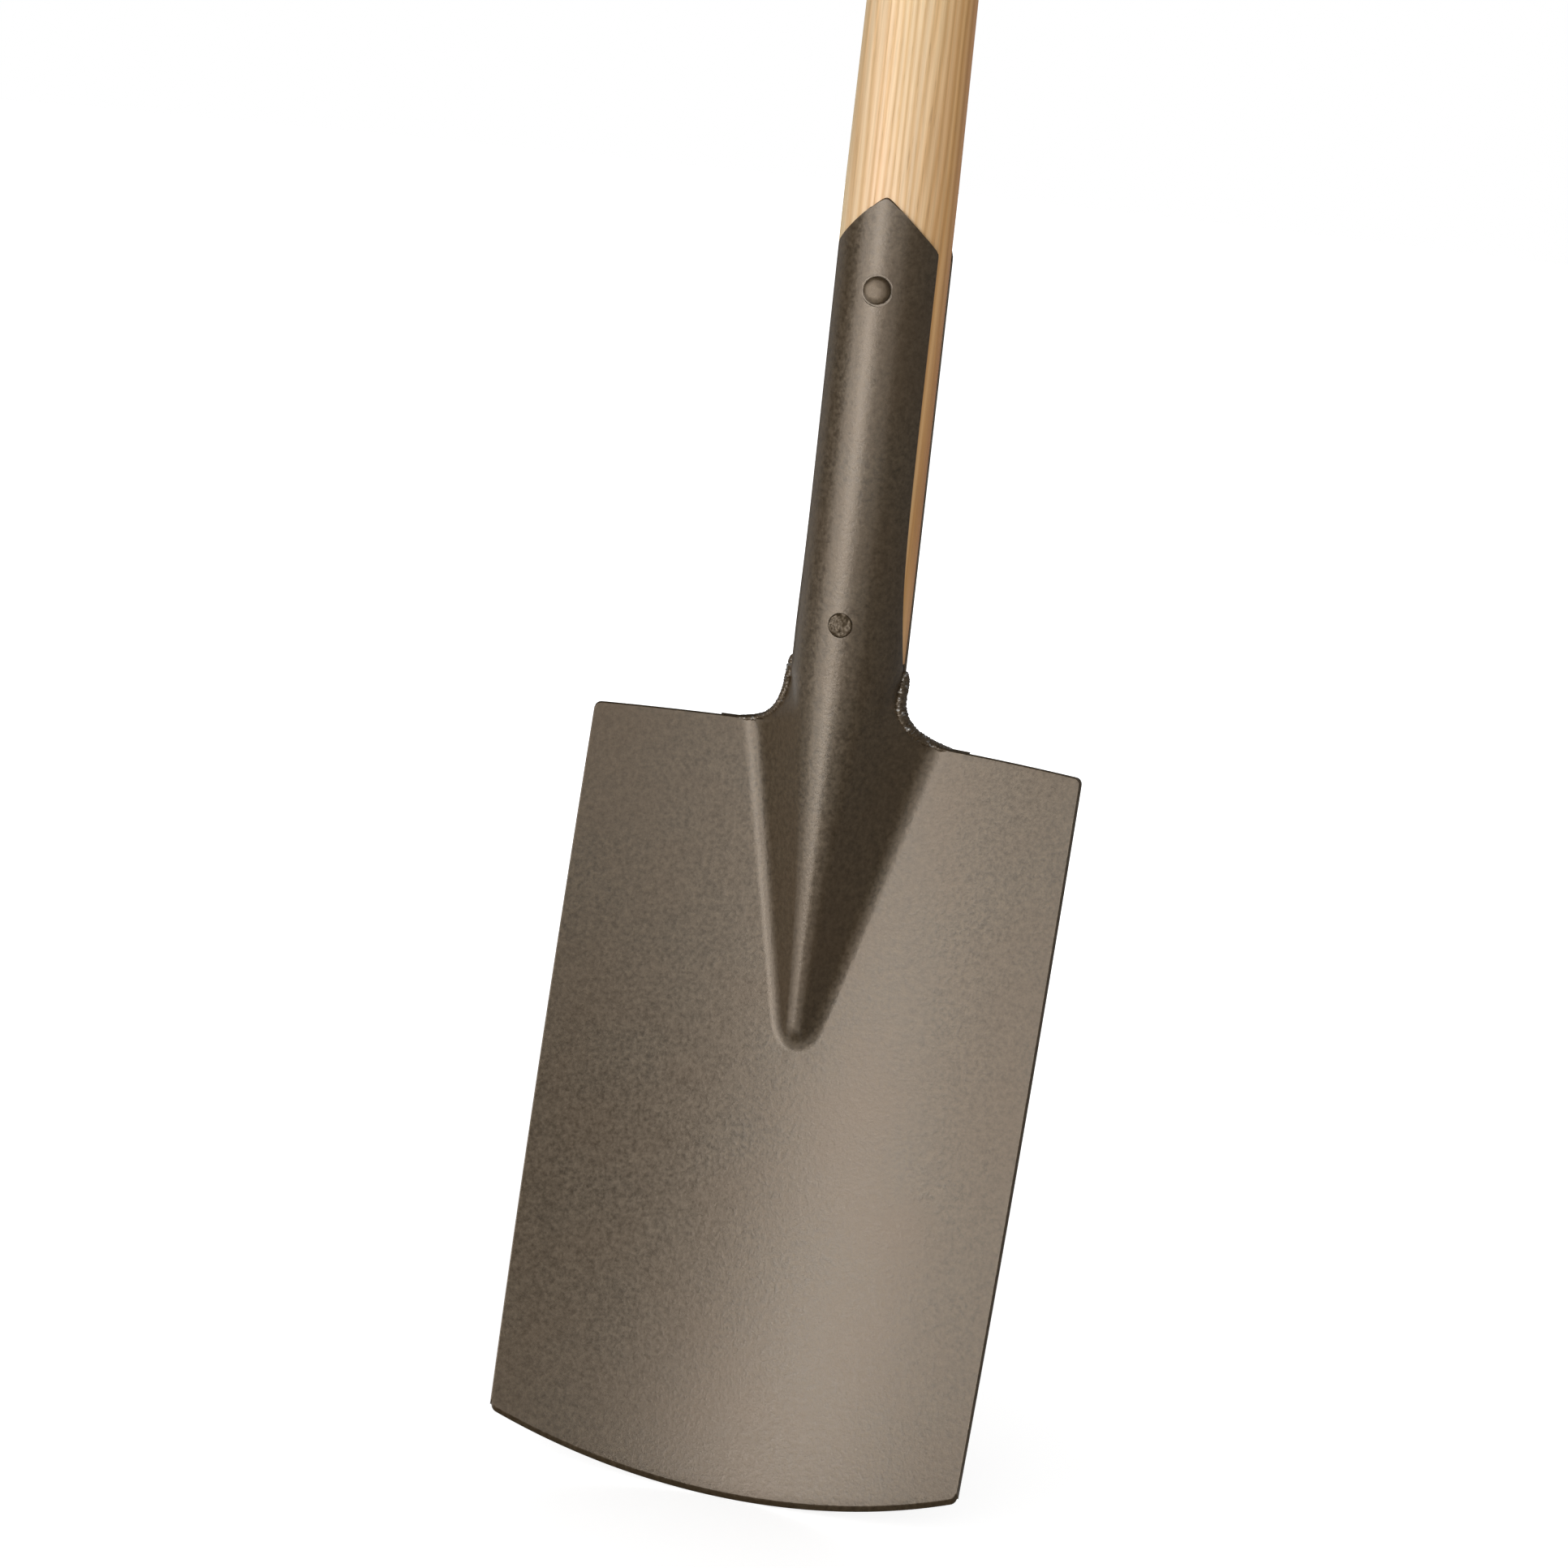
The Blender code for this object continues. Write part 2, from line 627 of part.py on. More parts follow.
def make_blade(head, metal):
    """Pressed blade and front strap, one sheet of metal."""
    grids = strap_grid(FRONT_STRAP_REACH, FRONT_STRAP_ANGLE, 1, STRAP_RADIUS,
                       STRAP_RADIUS - SHEET)
    row = len(STRAP_ROWS)
    for share in NECK_ROWS:
        s = mix(NECK_FOOT, NECK_JOIN, share)
        add_band_row(grids, row, neck_section(s), (0.0, SHEET), s)
        row += 1
    shoulder_row = row - 1
    add_wing_row(grids, shoulder_row, 0.0)
    for share in blade_shares():
        add_blade_row(grids, row, share)
        add_wing_row(grids, row, share)
        row += 1
    cells = sheet_cells(row, shoulder_row, len(BAND_STEPS) - 1, len(wing_starts()))
    return add_object("blade", sheet_mesh("blade", *grids, cells), metal, head)


# Rear strap


def tongue_heights():
    """Heights of the tongue's rows below the shoulders."""
    end = TONGUE_TIP + TONGUE_TIP_ROUNDING
    heights = [end * k / TONGUE_ROWS for k in range(1, TONGUE_ROWS)]
    return heights + [TONGUE_TIP + TONGUE_TIP_ROUNDING * k for k in TONGUE_TIP_ROWS]


def add_tongue_row(grids, row, s):
    """Middle columns of one row of the tongue."""
    squeeze = tongue_squeeze(s)
    add_band_row(grids, row, [(x * squeeze, y) for x, y in rear_section(s)], (0.0, -SHEET), s)


def add_flange_row(grids, row, s):
    """Outer columns of the tongue, which lie against the blade's back."""
    for k, step in enumerate(FLANGE_STEPS):
        inner = foot_half_width(s)
        x = mix(inner, inner + TONGUE_MARGIN, step) * tongue_squeeze(s)
        height = shoulder_line(x) if s == NECK_FOOT else s
        for grid, depth in zip(grids, (LAP_DEPTH + SHEET, LAP_DEPTH)):
            add_pair(grid, row, len(BAND_STEPS) + k, *floor_point(x, s, depth), height)


def make_rear_strap(head, metal):
    """Rear strap with the tongue behind the blade, one sheet of metal."""
    grids = strap_grid(REAR_STRAP_REACH, REAR_STRAP_ANGLE, -1, STRAP_RADIUS,
                       STRAP_RADIUS - SHEET)
    row = len(STRAP_ROWS)
    for share in NECK_ROWS:
        s = mix(NECK_FOOT, NECK_JOIN, share)
        add_band_row(grids, row, rear_section(s), (0.0, -SHEET), s)
        row += 1
    shoulder_row = row - 1
    add_flange_row(grids, shoulder_row, NECK_FOOT)
    for s in tongue_heights():
        add_tongue_row(grids, row, s)
        add_flange_row(grids, row, s)
        row += 1
    cells = sheet_cells(row, shoulder_row, len(BAND_STEPS) - 1, len(FLANGE_STEPS))
    return add_object("rear_strap", sheet_mesh("rear_strap", *grids, cells), metal, head)


# Shaft


def socket_oval(s):
    """Middle, half width and half depth of the shaft's oval section inside the socket."""
    s = min(s, NECK_JOIN)
    play = SHEET + SOCKET_PLAY
    front = crest_line(s) + play
    back = back_line(s) - play
    middle, half_depth = (front + back) / 2, (back - front) / 2
    half = POCKET_RADIUS - SOCKET_PLAY
    front_wall, rear_wall = ridge_section(s), rear_section(s)
    for k in range(1, SECTION_POINTS):
        share = k / SECTION_POINTS
        for x, y in (sample(front_wall, share, play), sample(rear_wall, share, -play)):
            rise = (y - middle) / half_depth
            if abs(rise) < 1:
                half = min(half, x / math.sqrt(1 - rise * rise))
    return middle, half, half_depth


def oval_ring(s, middle, half, half_depth):
    """Ring of points round the shaft."""
    turns = [2 * math.pi * k / SHAFT_SEGMENTS for k in range(SHAFT_SEGMENTS)]
    return [(half * math.sin(t), middle - half_depth * math.cos(t), s) for t in turns]


def socket_rings():
    """Rings of the shaft's end inside the socket, from the bottom up."""
    rings = []
    bottom = -SHAFT_SINK
    heights = [bottom + SHAFT_END_ROUNDING * k for k in SHAFT_END_ROWS]
    top = NECK_JOIN + SOCKET_MOUTH - SOCKET_STEP
    start = heights[-1]
    heights += [mix(start, top, k / SOCKET_ROWS) for k in range(1, SOCKET_ROWS + 1)]
    for s in heights:
        middle, half, half_depth = socket_oval(s)
        share = rounding((s - bottom) / SHAFT_END_ROUNDING)
        squeeze = mix(SHAFT_END_BLUNTNESS, 1.0, share)
        rings.append(oval_ring(s, middle, half * squeeze, half_depth * squeeze))
    return rings


def shaft_profile():
    """Heights and radii of the shaft above the socket, up to its tenon's end."""
    full = SHAFT_DIAMETER / 2
    waist = SHAFT_WAIST_DIAMETER / 2
    neck = SHAFT_TOP_DIAMETER / 2
    profile = [(NECK_JOIN + SOCKET_MOUTH, full), (FRONT_STRAP_REACH, full)]
    for share in TAPER_ROWS:
        ease = 1 - clamp(1 - share) ** SHAFT_TAPER_POWER
        profile.append((FRONT_STRAP_REACH + SHAFT_TAPER * share, mix(full, waist, ease)))
    profile.append((SHAFT_REACH - SHAFT_TOP_TAPER, waist))
    profile.append((SHAFT_REACH, neck))
    profile.append((SHAFT_REACH + GRIP_DIAMETER + TENON_RISE, neck))
    return profile


def add_pocket(name, reach, angle, facing, head):
    """Cutter for the bed of a strap in the shaft."""
    grids = strap_grid(reach, angle, facing, STRAP_RADIUS + SHEET, POCKET_RADIUS, CLEARANCE)
    cells = sheet_cells(len(STRAP_ROWS), len(STRAP_ROWS), len(BAND_STEPS) - 1, 0)
    return add_cutter(name, sheet_mesh(name, *grids, cells), head)


def add_cope():
    """Cutter that leaves the tenon and hollows the shaft's shoulder round the grip."""
    radius = GRIP_RADIUS + CLEARANCE
    turns = [math.pi * (k / SHAFT_SEGMENTS - 0.5) for k in range(SHAFT_SEGMENTS + 1)]
    outline = [(radius * math.sin(t), GRIP_RADIUS - radius * math.cos(t)) for t in turns]
    outline += [(radius, 2 * GRIP_DIAMETER), (-radius, 2 * GRIP_DIAMETER)]
    rings = [[(x, y, z) for y, z in outline] for x in (-SHAFT_TOP_DIAMETER, SHAFT_TOP_DIAMETER)]
    cope = add_cutter("cope", loft_mesh("cope", rings))
    core = [(-GRIP_RADIUS, TENON_DIAMETER / 2), (3 * GRIP_DIAMETER, TENON_DIAMETER / 2)]
    mesh = turned_mesh("tenon_core", core, (0, 0, 0), (0, 0, 1), SHAFT_SEGMENTS)
    cut(cope, add_cutter("tenon_core", mesh))
    return cope


def make_shaft(head, wood):
    """Ash shaft with its tapered end, the beds of the straps and the tenon."""
    rings = socket_rings()
    for s, radius in shaft_profile():
        rings.append(oval_ring(s, 0.0, radius, radius))
    shaft = add_object("shaft", loft_mesh("shaft", rings), wood, head)
    cut(shaft, add_pocket("front_bed", FRONT_STRAP_REACH, FRONT_STRAP_ANGLE, 1, head),
        add_pocket("rear_bed", REAR_STRAP_REACH, REAR_STRAP_ANGLE, -1, head), add_cope())
    return shaft


# Rivets


def rivet_profile(play):
    """Places along a rivet and its radii, from the domed head to the hammered end."""
    seat = STRAP_RADIUS - HEAD_SEAT_DEPTH
    shank = RIVET_DIAMETER / 2 + play
    flush = RIVET_FLUSH_DIAMETER / 2 + play
    flush_seat = STRAP_RADIUS - FLUSH_SEAT_DEPTH
    cone = STRAP_RADIUS - FLUSH_CONE_DEPTH
    if play:
        head = RIVET_HEAD_DIAMETER / 2 + play
        top = STRAP_RADIUS + 2 * RIVET_HEAD_RISE
        return [(top, head), (seat, head), (seat, shank), (-cone, shank),
                (-flush_seat, flush), (-top, flush)]
    points = []
    base = seat + CLEARANCE
    for k in range(DOME_ROWS + 1):
        turn = math.pi / 2 * (1 - DOME_FLAT) * (1 - k / DOME_ROWS)
        rise = (STRAP_RADIUS + RIVET_HEAD_RISE - base) * math.sin(turn)
        points.append((base + rise, RIVET_HEAD_DIAMETER / 2 * math.cos(turn)))
    points += [(base, shank), (-cone - CLEARANCE, shank), (-flush_seat - CLEARANCE, flush)]
    points += [(-STRAP_RADIUS - RIVET_FLUSH_RISE / 2, flush * FLUSH_EDGE_SHARE)]
    points += [(-STRAP_RADIUS - RIVET_FLUSH_RISE, flush * FLUSH_TOP_SHARE)]
    return points


def make_rivet(name, height, facing, head, metal):
    """Rivet through both straps, with its domed head on the side it faces."""
    mesh = turned_mesh(name, rivet_profile(0.0), (0, 0, height), (0, -facing, 0),
                       RIVET_SEGMENTS)
    return add_object(name, mesh, metal, head)


def add_rivet_hole(name, height, facing, head):
    """Cutter for a rivet's hole and the seats of its ends."""
    mesh = turned_mesh(name, rivet_profile(CLEARANCE), (0, 0, height), (0, -facing, 0),
                       RIVET_SEGMENTS)
    return add_cutter(name, mesh, head)


# Weld beads


def weld_path():
    """Places of the weld: distance out, height and way out of the metal."""
    path = []
    for k in range(WELD_STRAIGHT_ROWS):
        s = mix(NECK_JOIN - WELD_START, NECK_FILLET, k / WELD_STRAIGHT_ROWS)
        path.append((STRAP_RADIUS, s, 0.0))
    for k in range(WELD_CURVE_ROWS + 1):
        turn = math.pi / 2 * k / WELD_CURVE_ROWS
        path.append((NECK_CENTRE - NECK_FILLET * math.cos(turn),
                     NECK_FILLET * (1 - math.sin(turn)), turn))
    path.append((NECK_CENTRE + WELD_SHOULDER_RUN, 0.0, math.pi / 2))
    return path


def seam_middle(x, s):
    """Y of the middle of the seam between the two sheets."""
    if s >= NECK_JOIN:
        return 0.0
    if s > NECK_FOOT:
        return (neck_section(s)[-1][1] + rear_edge(s)[1]) / 2
    return floor_point(x, 0.0, SHEET + LAP_GAP / 2)[1]


def weld_rings(side):
    """Rings of a weld bead, half round over the seam."""
    path = weld_path()
    rings = []
    for k, (x, s, turn) in enumerate(path):
        share = k / (len(path) - 1)
        fade = WELD_END_SHARE if k in (0, len(path) - 1) else 1.0
        half = mix(WELD_HALF_WIDTH_TOP, WELD_HALF_WIDTH_SHOULDER, share) * fade
        height = mix(WELD_HEIGHT_TOP, WELD_HEIGHT_SHOULDER, share) * fade
        middle = seam_middle(x, s)
        ring = []
        for n in range(WELD_SEGMENTS + 1):
            angle = math.pi * n / WELD_SEGMENTS
            out = WELD_CLEARANCE + height * math.sin(angle)
            ring.append((side * (x + out * math.cos(turn)), middle - half * math.cos(angle),
                         s + out * math.sin(turn)))
        rings.append(ring)
    return rings


def make_weld(name, side, head, metal):
    """Weld bead on one side of the neck."""
    return add_object(name, loft_mesh(name, weld_rings(side)), metal, head)


# Grip


def grip_profile():
    """Places along the grip and its radii."""
    half, plain = GRIP_LENGTH / 2, GRIP_PLAIN_LENGTH / 2
    end = GRIP_END_DIAMETER / 2
    shape = [(plain, GRIP_RADIUS)]
    for k in range(1, GRIP_TAPER_ROWS + 1):
        share = k / GRIP_TAPER_ROWS
        shape.append((mix(plain, half - GRIP_END_ROUNDING, share),
                      mix(GRIP_RADIUS, end, share ** GRIP_TAPER_POWER)))
    for k in range(1, GRIP_END_ROWS + 1):
        turn = math.pi / 2 * k / GRIP_END_ROWS
        shape.append((half - GRIP_END_ROUNDING * (1 - math.sin(turn)),
                      end - GRIP_END_ROUNDING * (1 - math.cos(turn))))
    return [(-x, r) for x, r in reversed(shape)] + shape


def wedge_mesh(name, play, rise):
    """Tapered wedge, thicker at its top, or the slot for it."""
    tip = GRIP_DIAMETER - WEDGE_DEPTH
    rings = []
    for z in (tip - play, GRIP_DIAMETER + rise):
        thickness = mix(WEDGE_TIP_THICKNESS, WEDGE_THICKNESS, (z - tip) / WEDGE_DEPTH)
        x, y = thickness / 2 + play, WEDGE_WIDTH / 2 + play
        rings.append([(-x, -y, z), (x, -y, z), (x, y, z), (-x, y, z)])
    return loft_mesh(name, rings)


def make_grip(wood, wedge_wood, metal):
    """Turned grip bar, which is returned, its wedge and its cross pin."""
    centre = (0, 0, GRIP_RADIUS)
    bar_mesh = turned_mesh("grip_bar", grip_profile(), centre, (1, 0, 0), GRIP_SEGMENTS)
    bar = add_object("grip_bar", bar_mesh, wood)
    add_object("grip_wedge", wedge_mesh("grip_wedge", 0.0, TENON_RISE), wedge_wood)
    half = math.sqrt(GRIP_RADIUS ** 2 - (GRIP_RADIUS - PIN_HEIGHT) ** 2)
    radius = PIN_DIAMETER / 2
    pin_mesh = turned_mesh("grip_pin", [(-half, radius), (half, radius)], (0, 0, PIN_HEIGHT),
                           (0, 1, 0), RIVET_SEGMENTS)
    add_object("grip_pin", pin_mesh, metal)
    return bar


def make_grip_cutters():
    """Cutters for the tenon's hole, the wedge's slot and the pin's hole."""
    hole = [(-GRIP_RADIUS, TENON_DIAMETER / 2 + CLEARANCE),
            (GRIP_DIAMETER * 2, TENON_DIAMETER / 2 + CLEARANCE)]
    tenon_hole = turned_mesh("tenon_hole", hole, (0, 0, 0), (0, 0, 1), SHAFT_SEGMENTS)
    slot = wedge_mesh("wedge_slot", CLEARANCE, GRIP_RADIUS)
    radius = PIN_DIAMETER / 2 + CLEARANCE
    pin_hole = turned_mesh("pin_hole", [(-GRIP_DIAMETER, radius), (GRIP_DIAMETER, radius)],
                           (0, 0, PIN_HEIGHT), (0, 1, 0), RIVET_SEGMENTS)
    return (add_cutter("tenon_hole", tenon_hole), add_cutter("wedge_slot", slot),
            add_cutter("pin_hole", pin_hole))


# Materials


def make_material(name, colour, roughness, metallic):
    """Material with one colour, as linear red, green and blue."""
    material = bpy.data.materials.new(name)
    material.use_nodes = True
    shader = material.node_tree.nodes["Principled BSDF"]
    shader.inputs["Base Color"].default_value = (*colour, 1.0)
    shader.inputs["Roughness"].default_value = roughness
    shader.inputs["Metallic"].default_value = metallic
    material.diffuse_color = (*colour, 1.0)
    return material


def metal_material(name, colour):
    """Brownish satin metal of the head."""
    return make_material(name, colour, METAL_ROUGHNESS, METAL_METALLIC)


def wood_material(name, colour):
    """Bare wood."""
    return make_material(name, colour, WOOD_ROUGHNESS, WOOD_METALLIC)


def clear_scene():
    """Removes the scene's objects."""
    for obj in list(bpy.data.objects):
        bpy.data.objects.remove(obj, do_unlink=True)


def main():
    """Builds the whole spade."""
    clear_scene()
    head = bpy.data.objects.new("head", None)
    head.location = (0, 0, -SHAFT_REACH)
    bpy.context.scene.collection.objects.link(head)

    blade = make_blade(head, metal_material("blade_metal", SHEET_COLOUR))
    rear_strap = make_rear_strap(head, metal_material("strap_metal", SHEET_COLOUR))
    shaft = make_shaft(head, wood_material("shaft_wood", ASH_COLOUR))

    rivet_metal = metal_material("rivet_metal", RIVET_COLOUR)
    for name, height, facing in (("upper_rivet", UPPER_RIVET_HEIGHT, 1),
                                 ("lower_rivet", LOWER_RIVET_HEIGHT, -1)):
        make_rivet(name, height, facing, head, rivet_metal)
        hole = add_rivet_hole(name + "_hole", height, facing, head)
        for piece in (blade, rear_strap, shaft):
            cut(piece, hole)

    weld_metal = metal_material("weld_metal", WELD_COLOUR)
    make_weld("left_weld", -1, head, weld_metal)
    make_weld("right_weld", 1, head, weld_metal)

    bar = make_grip(wood_material("grip_wood", ASH_COLOUR),
                    wood_material("wedge_wood", WEDGE_COLOUR),
                    metal_material("pin_metal", RIVET_COLOUR))
    tenon_hole, slot, pin_hole = make_grip_cutters()
    cut(bar, tenon_hole, pin_hole)
    cut(shaft, slot, pin_hole)


main()
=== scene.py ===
from math import atan, cos, hypot, inf, pi, radians, sin, sqrt, tan

import bmesh
import bpy
import numpy as np
from mathutils import Matrix, Vector, noise


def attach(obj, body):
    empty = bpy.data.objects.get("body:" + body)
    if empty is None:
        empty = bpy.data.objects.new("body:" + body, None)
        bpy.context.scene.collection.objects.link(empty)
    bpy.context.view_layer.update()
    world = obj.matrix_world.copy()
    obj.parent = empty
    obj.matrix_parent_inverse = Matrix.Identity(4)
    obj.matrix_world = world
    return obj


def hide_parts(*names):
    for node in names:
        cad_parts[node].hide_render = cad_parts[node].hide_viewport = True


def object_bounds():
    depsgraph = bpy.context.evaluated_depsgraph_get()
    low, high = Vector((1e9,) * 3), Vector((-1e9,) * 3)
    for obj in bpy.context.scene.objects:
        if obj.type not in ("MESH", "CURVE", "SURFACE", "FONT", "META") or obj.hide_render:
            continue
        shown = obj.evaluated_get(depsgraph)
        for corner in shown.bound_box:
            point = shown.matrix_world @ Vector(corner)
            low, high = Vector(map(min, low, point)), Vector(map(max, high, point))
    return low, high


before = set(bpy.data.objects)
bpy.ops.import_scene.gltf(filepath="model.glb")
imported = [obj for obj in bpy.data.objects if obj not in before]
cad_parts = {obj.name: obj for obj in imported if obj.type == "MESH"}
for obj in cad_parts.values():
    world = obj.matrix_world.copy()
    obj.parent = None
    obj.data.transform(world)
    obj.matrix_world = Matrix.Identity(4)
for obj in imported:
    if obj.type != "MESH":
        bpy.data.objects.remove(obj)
cad_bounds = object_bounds()

# Sizes of the spade, in metres. Heights called s are counted up from the blade's shoulders.
SHAFT_REACH = 0.794
CLEARANCE = 0.0003

BLADE_LENGTH = 0.2797
SHOULDER_HALF = 0.1842 / 2
CUTTING_HALF = 0.1774 / 2
SIDE_CURVE = 2.2
CUTTING_EDGE_RADIUS = 0.208
UPPER_CORNER_RADIUS = 0.0024
LOWER_CORNER_RADIUS = 0.0018
SHEET = 0.0022
BEVEL_DEPTH = 0.0017
BEVEL_WIDTH = 0.0029
BEVEL_POWER = 1.4  # above 1 its face is hollow
LEAN = radians(12.77)
BLADE_SETBACK = 0.0052
DISH_TOP = 0.0150
DISH_BOTTOM = 0.0142

RIDGE_LENGTH = 0.1170
RIDGE_HALF_WIDTH = 0.0394
RIDGE_TIP_HALF_WIDTH = 0.0078
RIDGE_TIP_HEIGHT = 0.0029
RIDGE_TIP_CREST_RADIUS = 0.0052
CREST_SPREAD = 1.6
RIDGE_TIP_ROUNDING = 0.0110
RIDGE_TIP_BLUNTNESS = 0.5
RIDGE_FOOT_RADIUS_TOP = 0.0140
RIDGE_FOOT_RADIUS_TIP = 0.0075
UPRIGHT_POWER = 3  # how late the flanks turn upright

NECK_JOIN = 0.0242
NECK_FILLET = 0.0185
SEAM_GAP = 0.0016
LAP_GAP = 0.0005
SEAM_MARGIN = 0.0004

SHAFT_DIAMETER = 0.0407
STRAP_PROUD = 0.0007
FRONT_STRAP_REACH = 0.1983
REAR_STRAP_REACH = 0.1950
STRAP_POINT_DROP = 0.0168
FRONT_STRAP_ANGLE = radians(62.0)
REAR_STRAP_ANGLE = radians(76.0)
CLOSING_ANGLE = radians(88.0)
CLOSING_POWER = 7
STRAP_CORNER_RADIUS = 0.0026  # softening of a strap's corners
STRAP_POINT_SOFTNESS = 0.07  # and of its point, as a share of its half width

TONGUE_MARGIN = 0.0075
TONGUE_TIP_ROUNDING = 0.0120
TONGUE_TIP_BLUNTNESS = 0.3
TONGUE_OVERREACH = 0.0110
BACK_BEND_HEIGHT = 0.0180
SWELL_LENGTH = 0.0970
BEND_SOFTNESS = 0.0010
SECTION_HANDLE = 0.39
REAR_TURN_POWER = 0.7

SHAFT_WAIST_DIAMETER = 0.0368
SHAFT_TAPER = 0.2400
SHAFT_TOP_DIAMETER = 0.0340
SHAFT_TOP_TAPER = 0.1200
SHAFT_TAPER_POWER = 1.2
SHAFT_TOP_POWER = 1.3
SHAFT_SINK = 0.0620
SHAFT_END_ROUNDING = 0.0060
SHAFT_END_BLUNTNESS = 0.6
SOCKET_MOUTH = 0.0056
SOCKET_STEP = 0.0015
SOCKET_PLAY = 0.0005

UPPER_RIVET_HEIGHT = 0.1657
LOWER_RIVET_HEIGHT = 0.0444
RIVET_DIAMETER = 0.0060
RIVET_HEAD_DIAMETER = 0.0100
RIVET_HEAD_RISE = 0.0020
RIVET_FLUSH_DIAMETER = 0.0085
RIVET_FLUSH_RISE = 0.0003
HEAD_SEAT_DEPTH = 0.0007
FLUSH_SEAT_DEPTH = 0.0006
FLUSH_CONE_DEPTH = 0.0016
HEAD_GROOVE = 0.0005
HEAD_DENTS = 0.00007
HAMMER_MARKS = 0.00100
DENT_PITCH = 420
BLOW_PITCH = 560
BLOW_LEVEL = 0.45
SCAR_PITCH = 900
SCAR_SHARE = 1 / 3
DOME_FLATNESS = 0.56
DOME_STEEPNESS = 0.66
DOME_START = 0.3  # place of a dome's first ring, in rings
DOME_RINGS = 16
HAMMERED_RINGS = 13
HAMMERED_SHARE = 0.94  # what these rings cover of the radius

WELD_HEIGHT_TOP = 0.0024
WELD_HEIGHT_SHOULDER = 0.0006
WELD_HALF_WIDTH_TOP = 0.0030
WELD_HALF_WIDTH_SHOULDER = 0.0031
WELD_WRAP = 0.0017  # half axis of a bead's part that lies over the sheets
WELD_RIGHT_SWELL = 0.0007  # the right bead's extra height, halfway
WELD_START = -0.0030
WELD_SHOULDER_RUN = 0.0015
WELD_END_SHARE = 0.3
WELD_RIPPLE = 0.11
WELD_TOP_RISE = 4.5  # how soon a bead is full, from either end
WELD_FOOT_RISE = 9
WELD_NOISE_LENGTH = 34  # length of a bead in the space of its noises
WELD_SIDE_SHIFT = 7.0  # and how far apart the two beads are there
WELD_RIPPLES = 26
WELD_RIPPLE_BOW = 1.1
WELD_ROUND_PITCH = 2.5
WELD_SIDE_SWELL = 0.3
WELD_NOISES = {  # pitch, size
    "width": (0.55, 0.12), "wander": (0.4, 0.0003), "drift": (1.0, 0.7), "rough": (1.7, 0.24)}
WELD_WANDER_SHIFT = (0, 0, 9)

GRIP_LENGTH = 0.1300
GRIP_RADIUS = 0.0190
GRIP_PLAIN_LENGTH = 0.0800
GRIP_END_DIAMETER = 0.0310
GRIP_END_ROUNDING = 0.0060
GRIP_TAPER_POWER = 1.6
TENON_DIAMETER = 0.0220
TENON_RISE = 0.0004
WEDGE_WIDTH = 0.0170
WEDGE_THICKNESS = 0.0028
WEDGE_TIP_THICKNESS = 0.0010
WEDGE_DEPTH = 0.0180
WEDGE_SOFTNESS = 0.0002
PIN_DIAMETER = 0.0050
PIN_HEIGHT = 0.0100
PIN_SOFTNESS = 0.0004

STRAP_RADIUS = SHAFT_DIAMETER / 2 + STRAP_PROUD
POCKET_RADIUS = STRAP_RADIUS - SHEET - CLEARANCE
NECK_CENTRE = STRAP_RADIUS + NECK_FILLET
RIDGE_TIP = -RIDGE_LENGTH
TONGUE_TIP = -RIDGE_LENGTH - TONGUE_OVERREACH
LAP_DEPTH = SHEET + LAP_GAP
HEAD = Matrix.Translation((0, 0, -SHAFT_REACH))
TOOL = Matrix()
CUTTER_REACH = 4 * GRIP_RADIUS
CORE_REACH = 6 * GRIP_RADIUS

# Straps: reach, half of what they wrap, and 1 in front or -1 behind
FRONT_STRAP = (FRONT_STRAP_REACH, FRONT_STRAP_ANGLE, 1)
REAR_STRAP = (REAR_STRAP_REACH, REAR_STRAP_ANGLE, -1)

# Rivets: node, height, 1 with the domed head in front or -1 behind, place in the noise
RIVETS = (("upper_rivet", UPPER_RIVET_HEIGHT, 1, 3.1),
          ("lower_rivet", LOWER_RIVET_HEIGHT, -1, 8.7))

# Fineness of the meshes
BISECTIONS = 40
SETTLE_ROUNDS = 6
SECTION_POINTS = 24
FINE_STEPS = 8  # finer steps along a section, for each of its points
SMOOTHING = 4  # and how many of them are averaged to either side
BAND_STEPS = np.linspace(0, 1, 33)
WING_COLUMNS = 30
CORNER_COLUMNS = 5
CORNER_TURN = radians(58)  # where a corner's last but one column starts
STRAP_ROWS = 90
STRAP_ROW_POWER = 1.5  # rows get closer towards the point
NECK_ROWS = 20
RIDGE_ROWS = 56
TIP_ROWS = 14
LOWER_ROWS = 46
BAND_END_SHARE = 1 / 3  # the middle columns' share of the cutting edge
BEVEL_ROWS = 6
TONGUE_ROWS = 50
TONGUE_TIP_ROWS = 14
TONGUE_LAST_STEP = 0.2
FLANGE_COLUMNS = 6
SHAFT_END_RINGS = 8
SOCKET_RINGS = 23
SHAFT_RINGS = 60
GRIP_PLAIN_RINGS = 12
GRIP_TAPER_RINGS = 14
GRIP_END_RINGS = 10
ROUND_SEGMENTS = 128
RIVET_SEGMENTS = 64
WELD_SEGMENTS = 28
WELD_STEPS = 260
EDGE_RADIUS = 0.00030  # softening of the sheets' cut edges
SOFTENED_ANGLE = radians(40)
SOFTENED_SEGMENTS = 3
SHARP_ANGLE = radians(35)
MERGE_DISTANCE = 0.000003

# Paints: tint, roughness, specular level, how grainy, how much shows bare metal
BROWN = (0.079, 0.0545, 0.0290)
PAINTS = {
    "brown_paint": (BROWN, 0.34, 1.0),
    "rivet_paint": (BROWN, 0.38, 0.7, 0.8),
    "weld_paint": (BROWN, 0.32, 0.9, 0.9, 0.05),
    "pin_paint": ((0.32, 0.28, 0.24), 0.35, 1.0, 0.6),
}
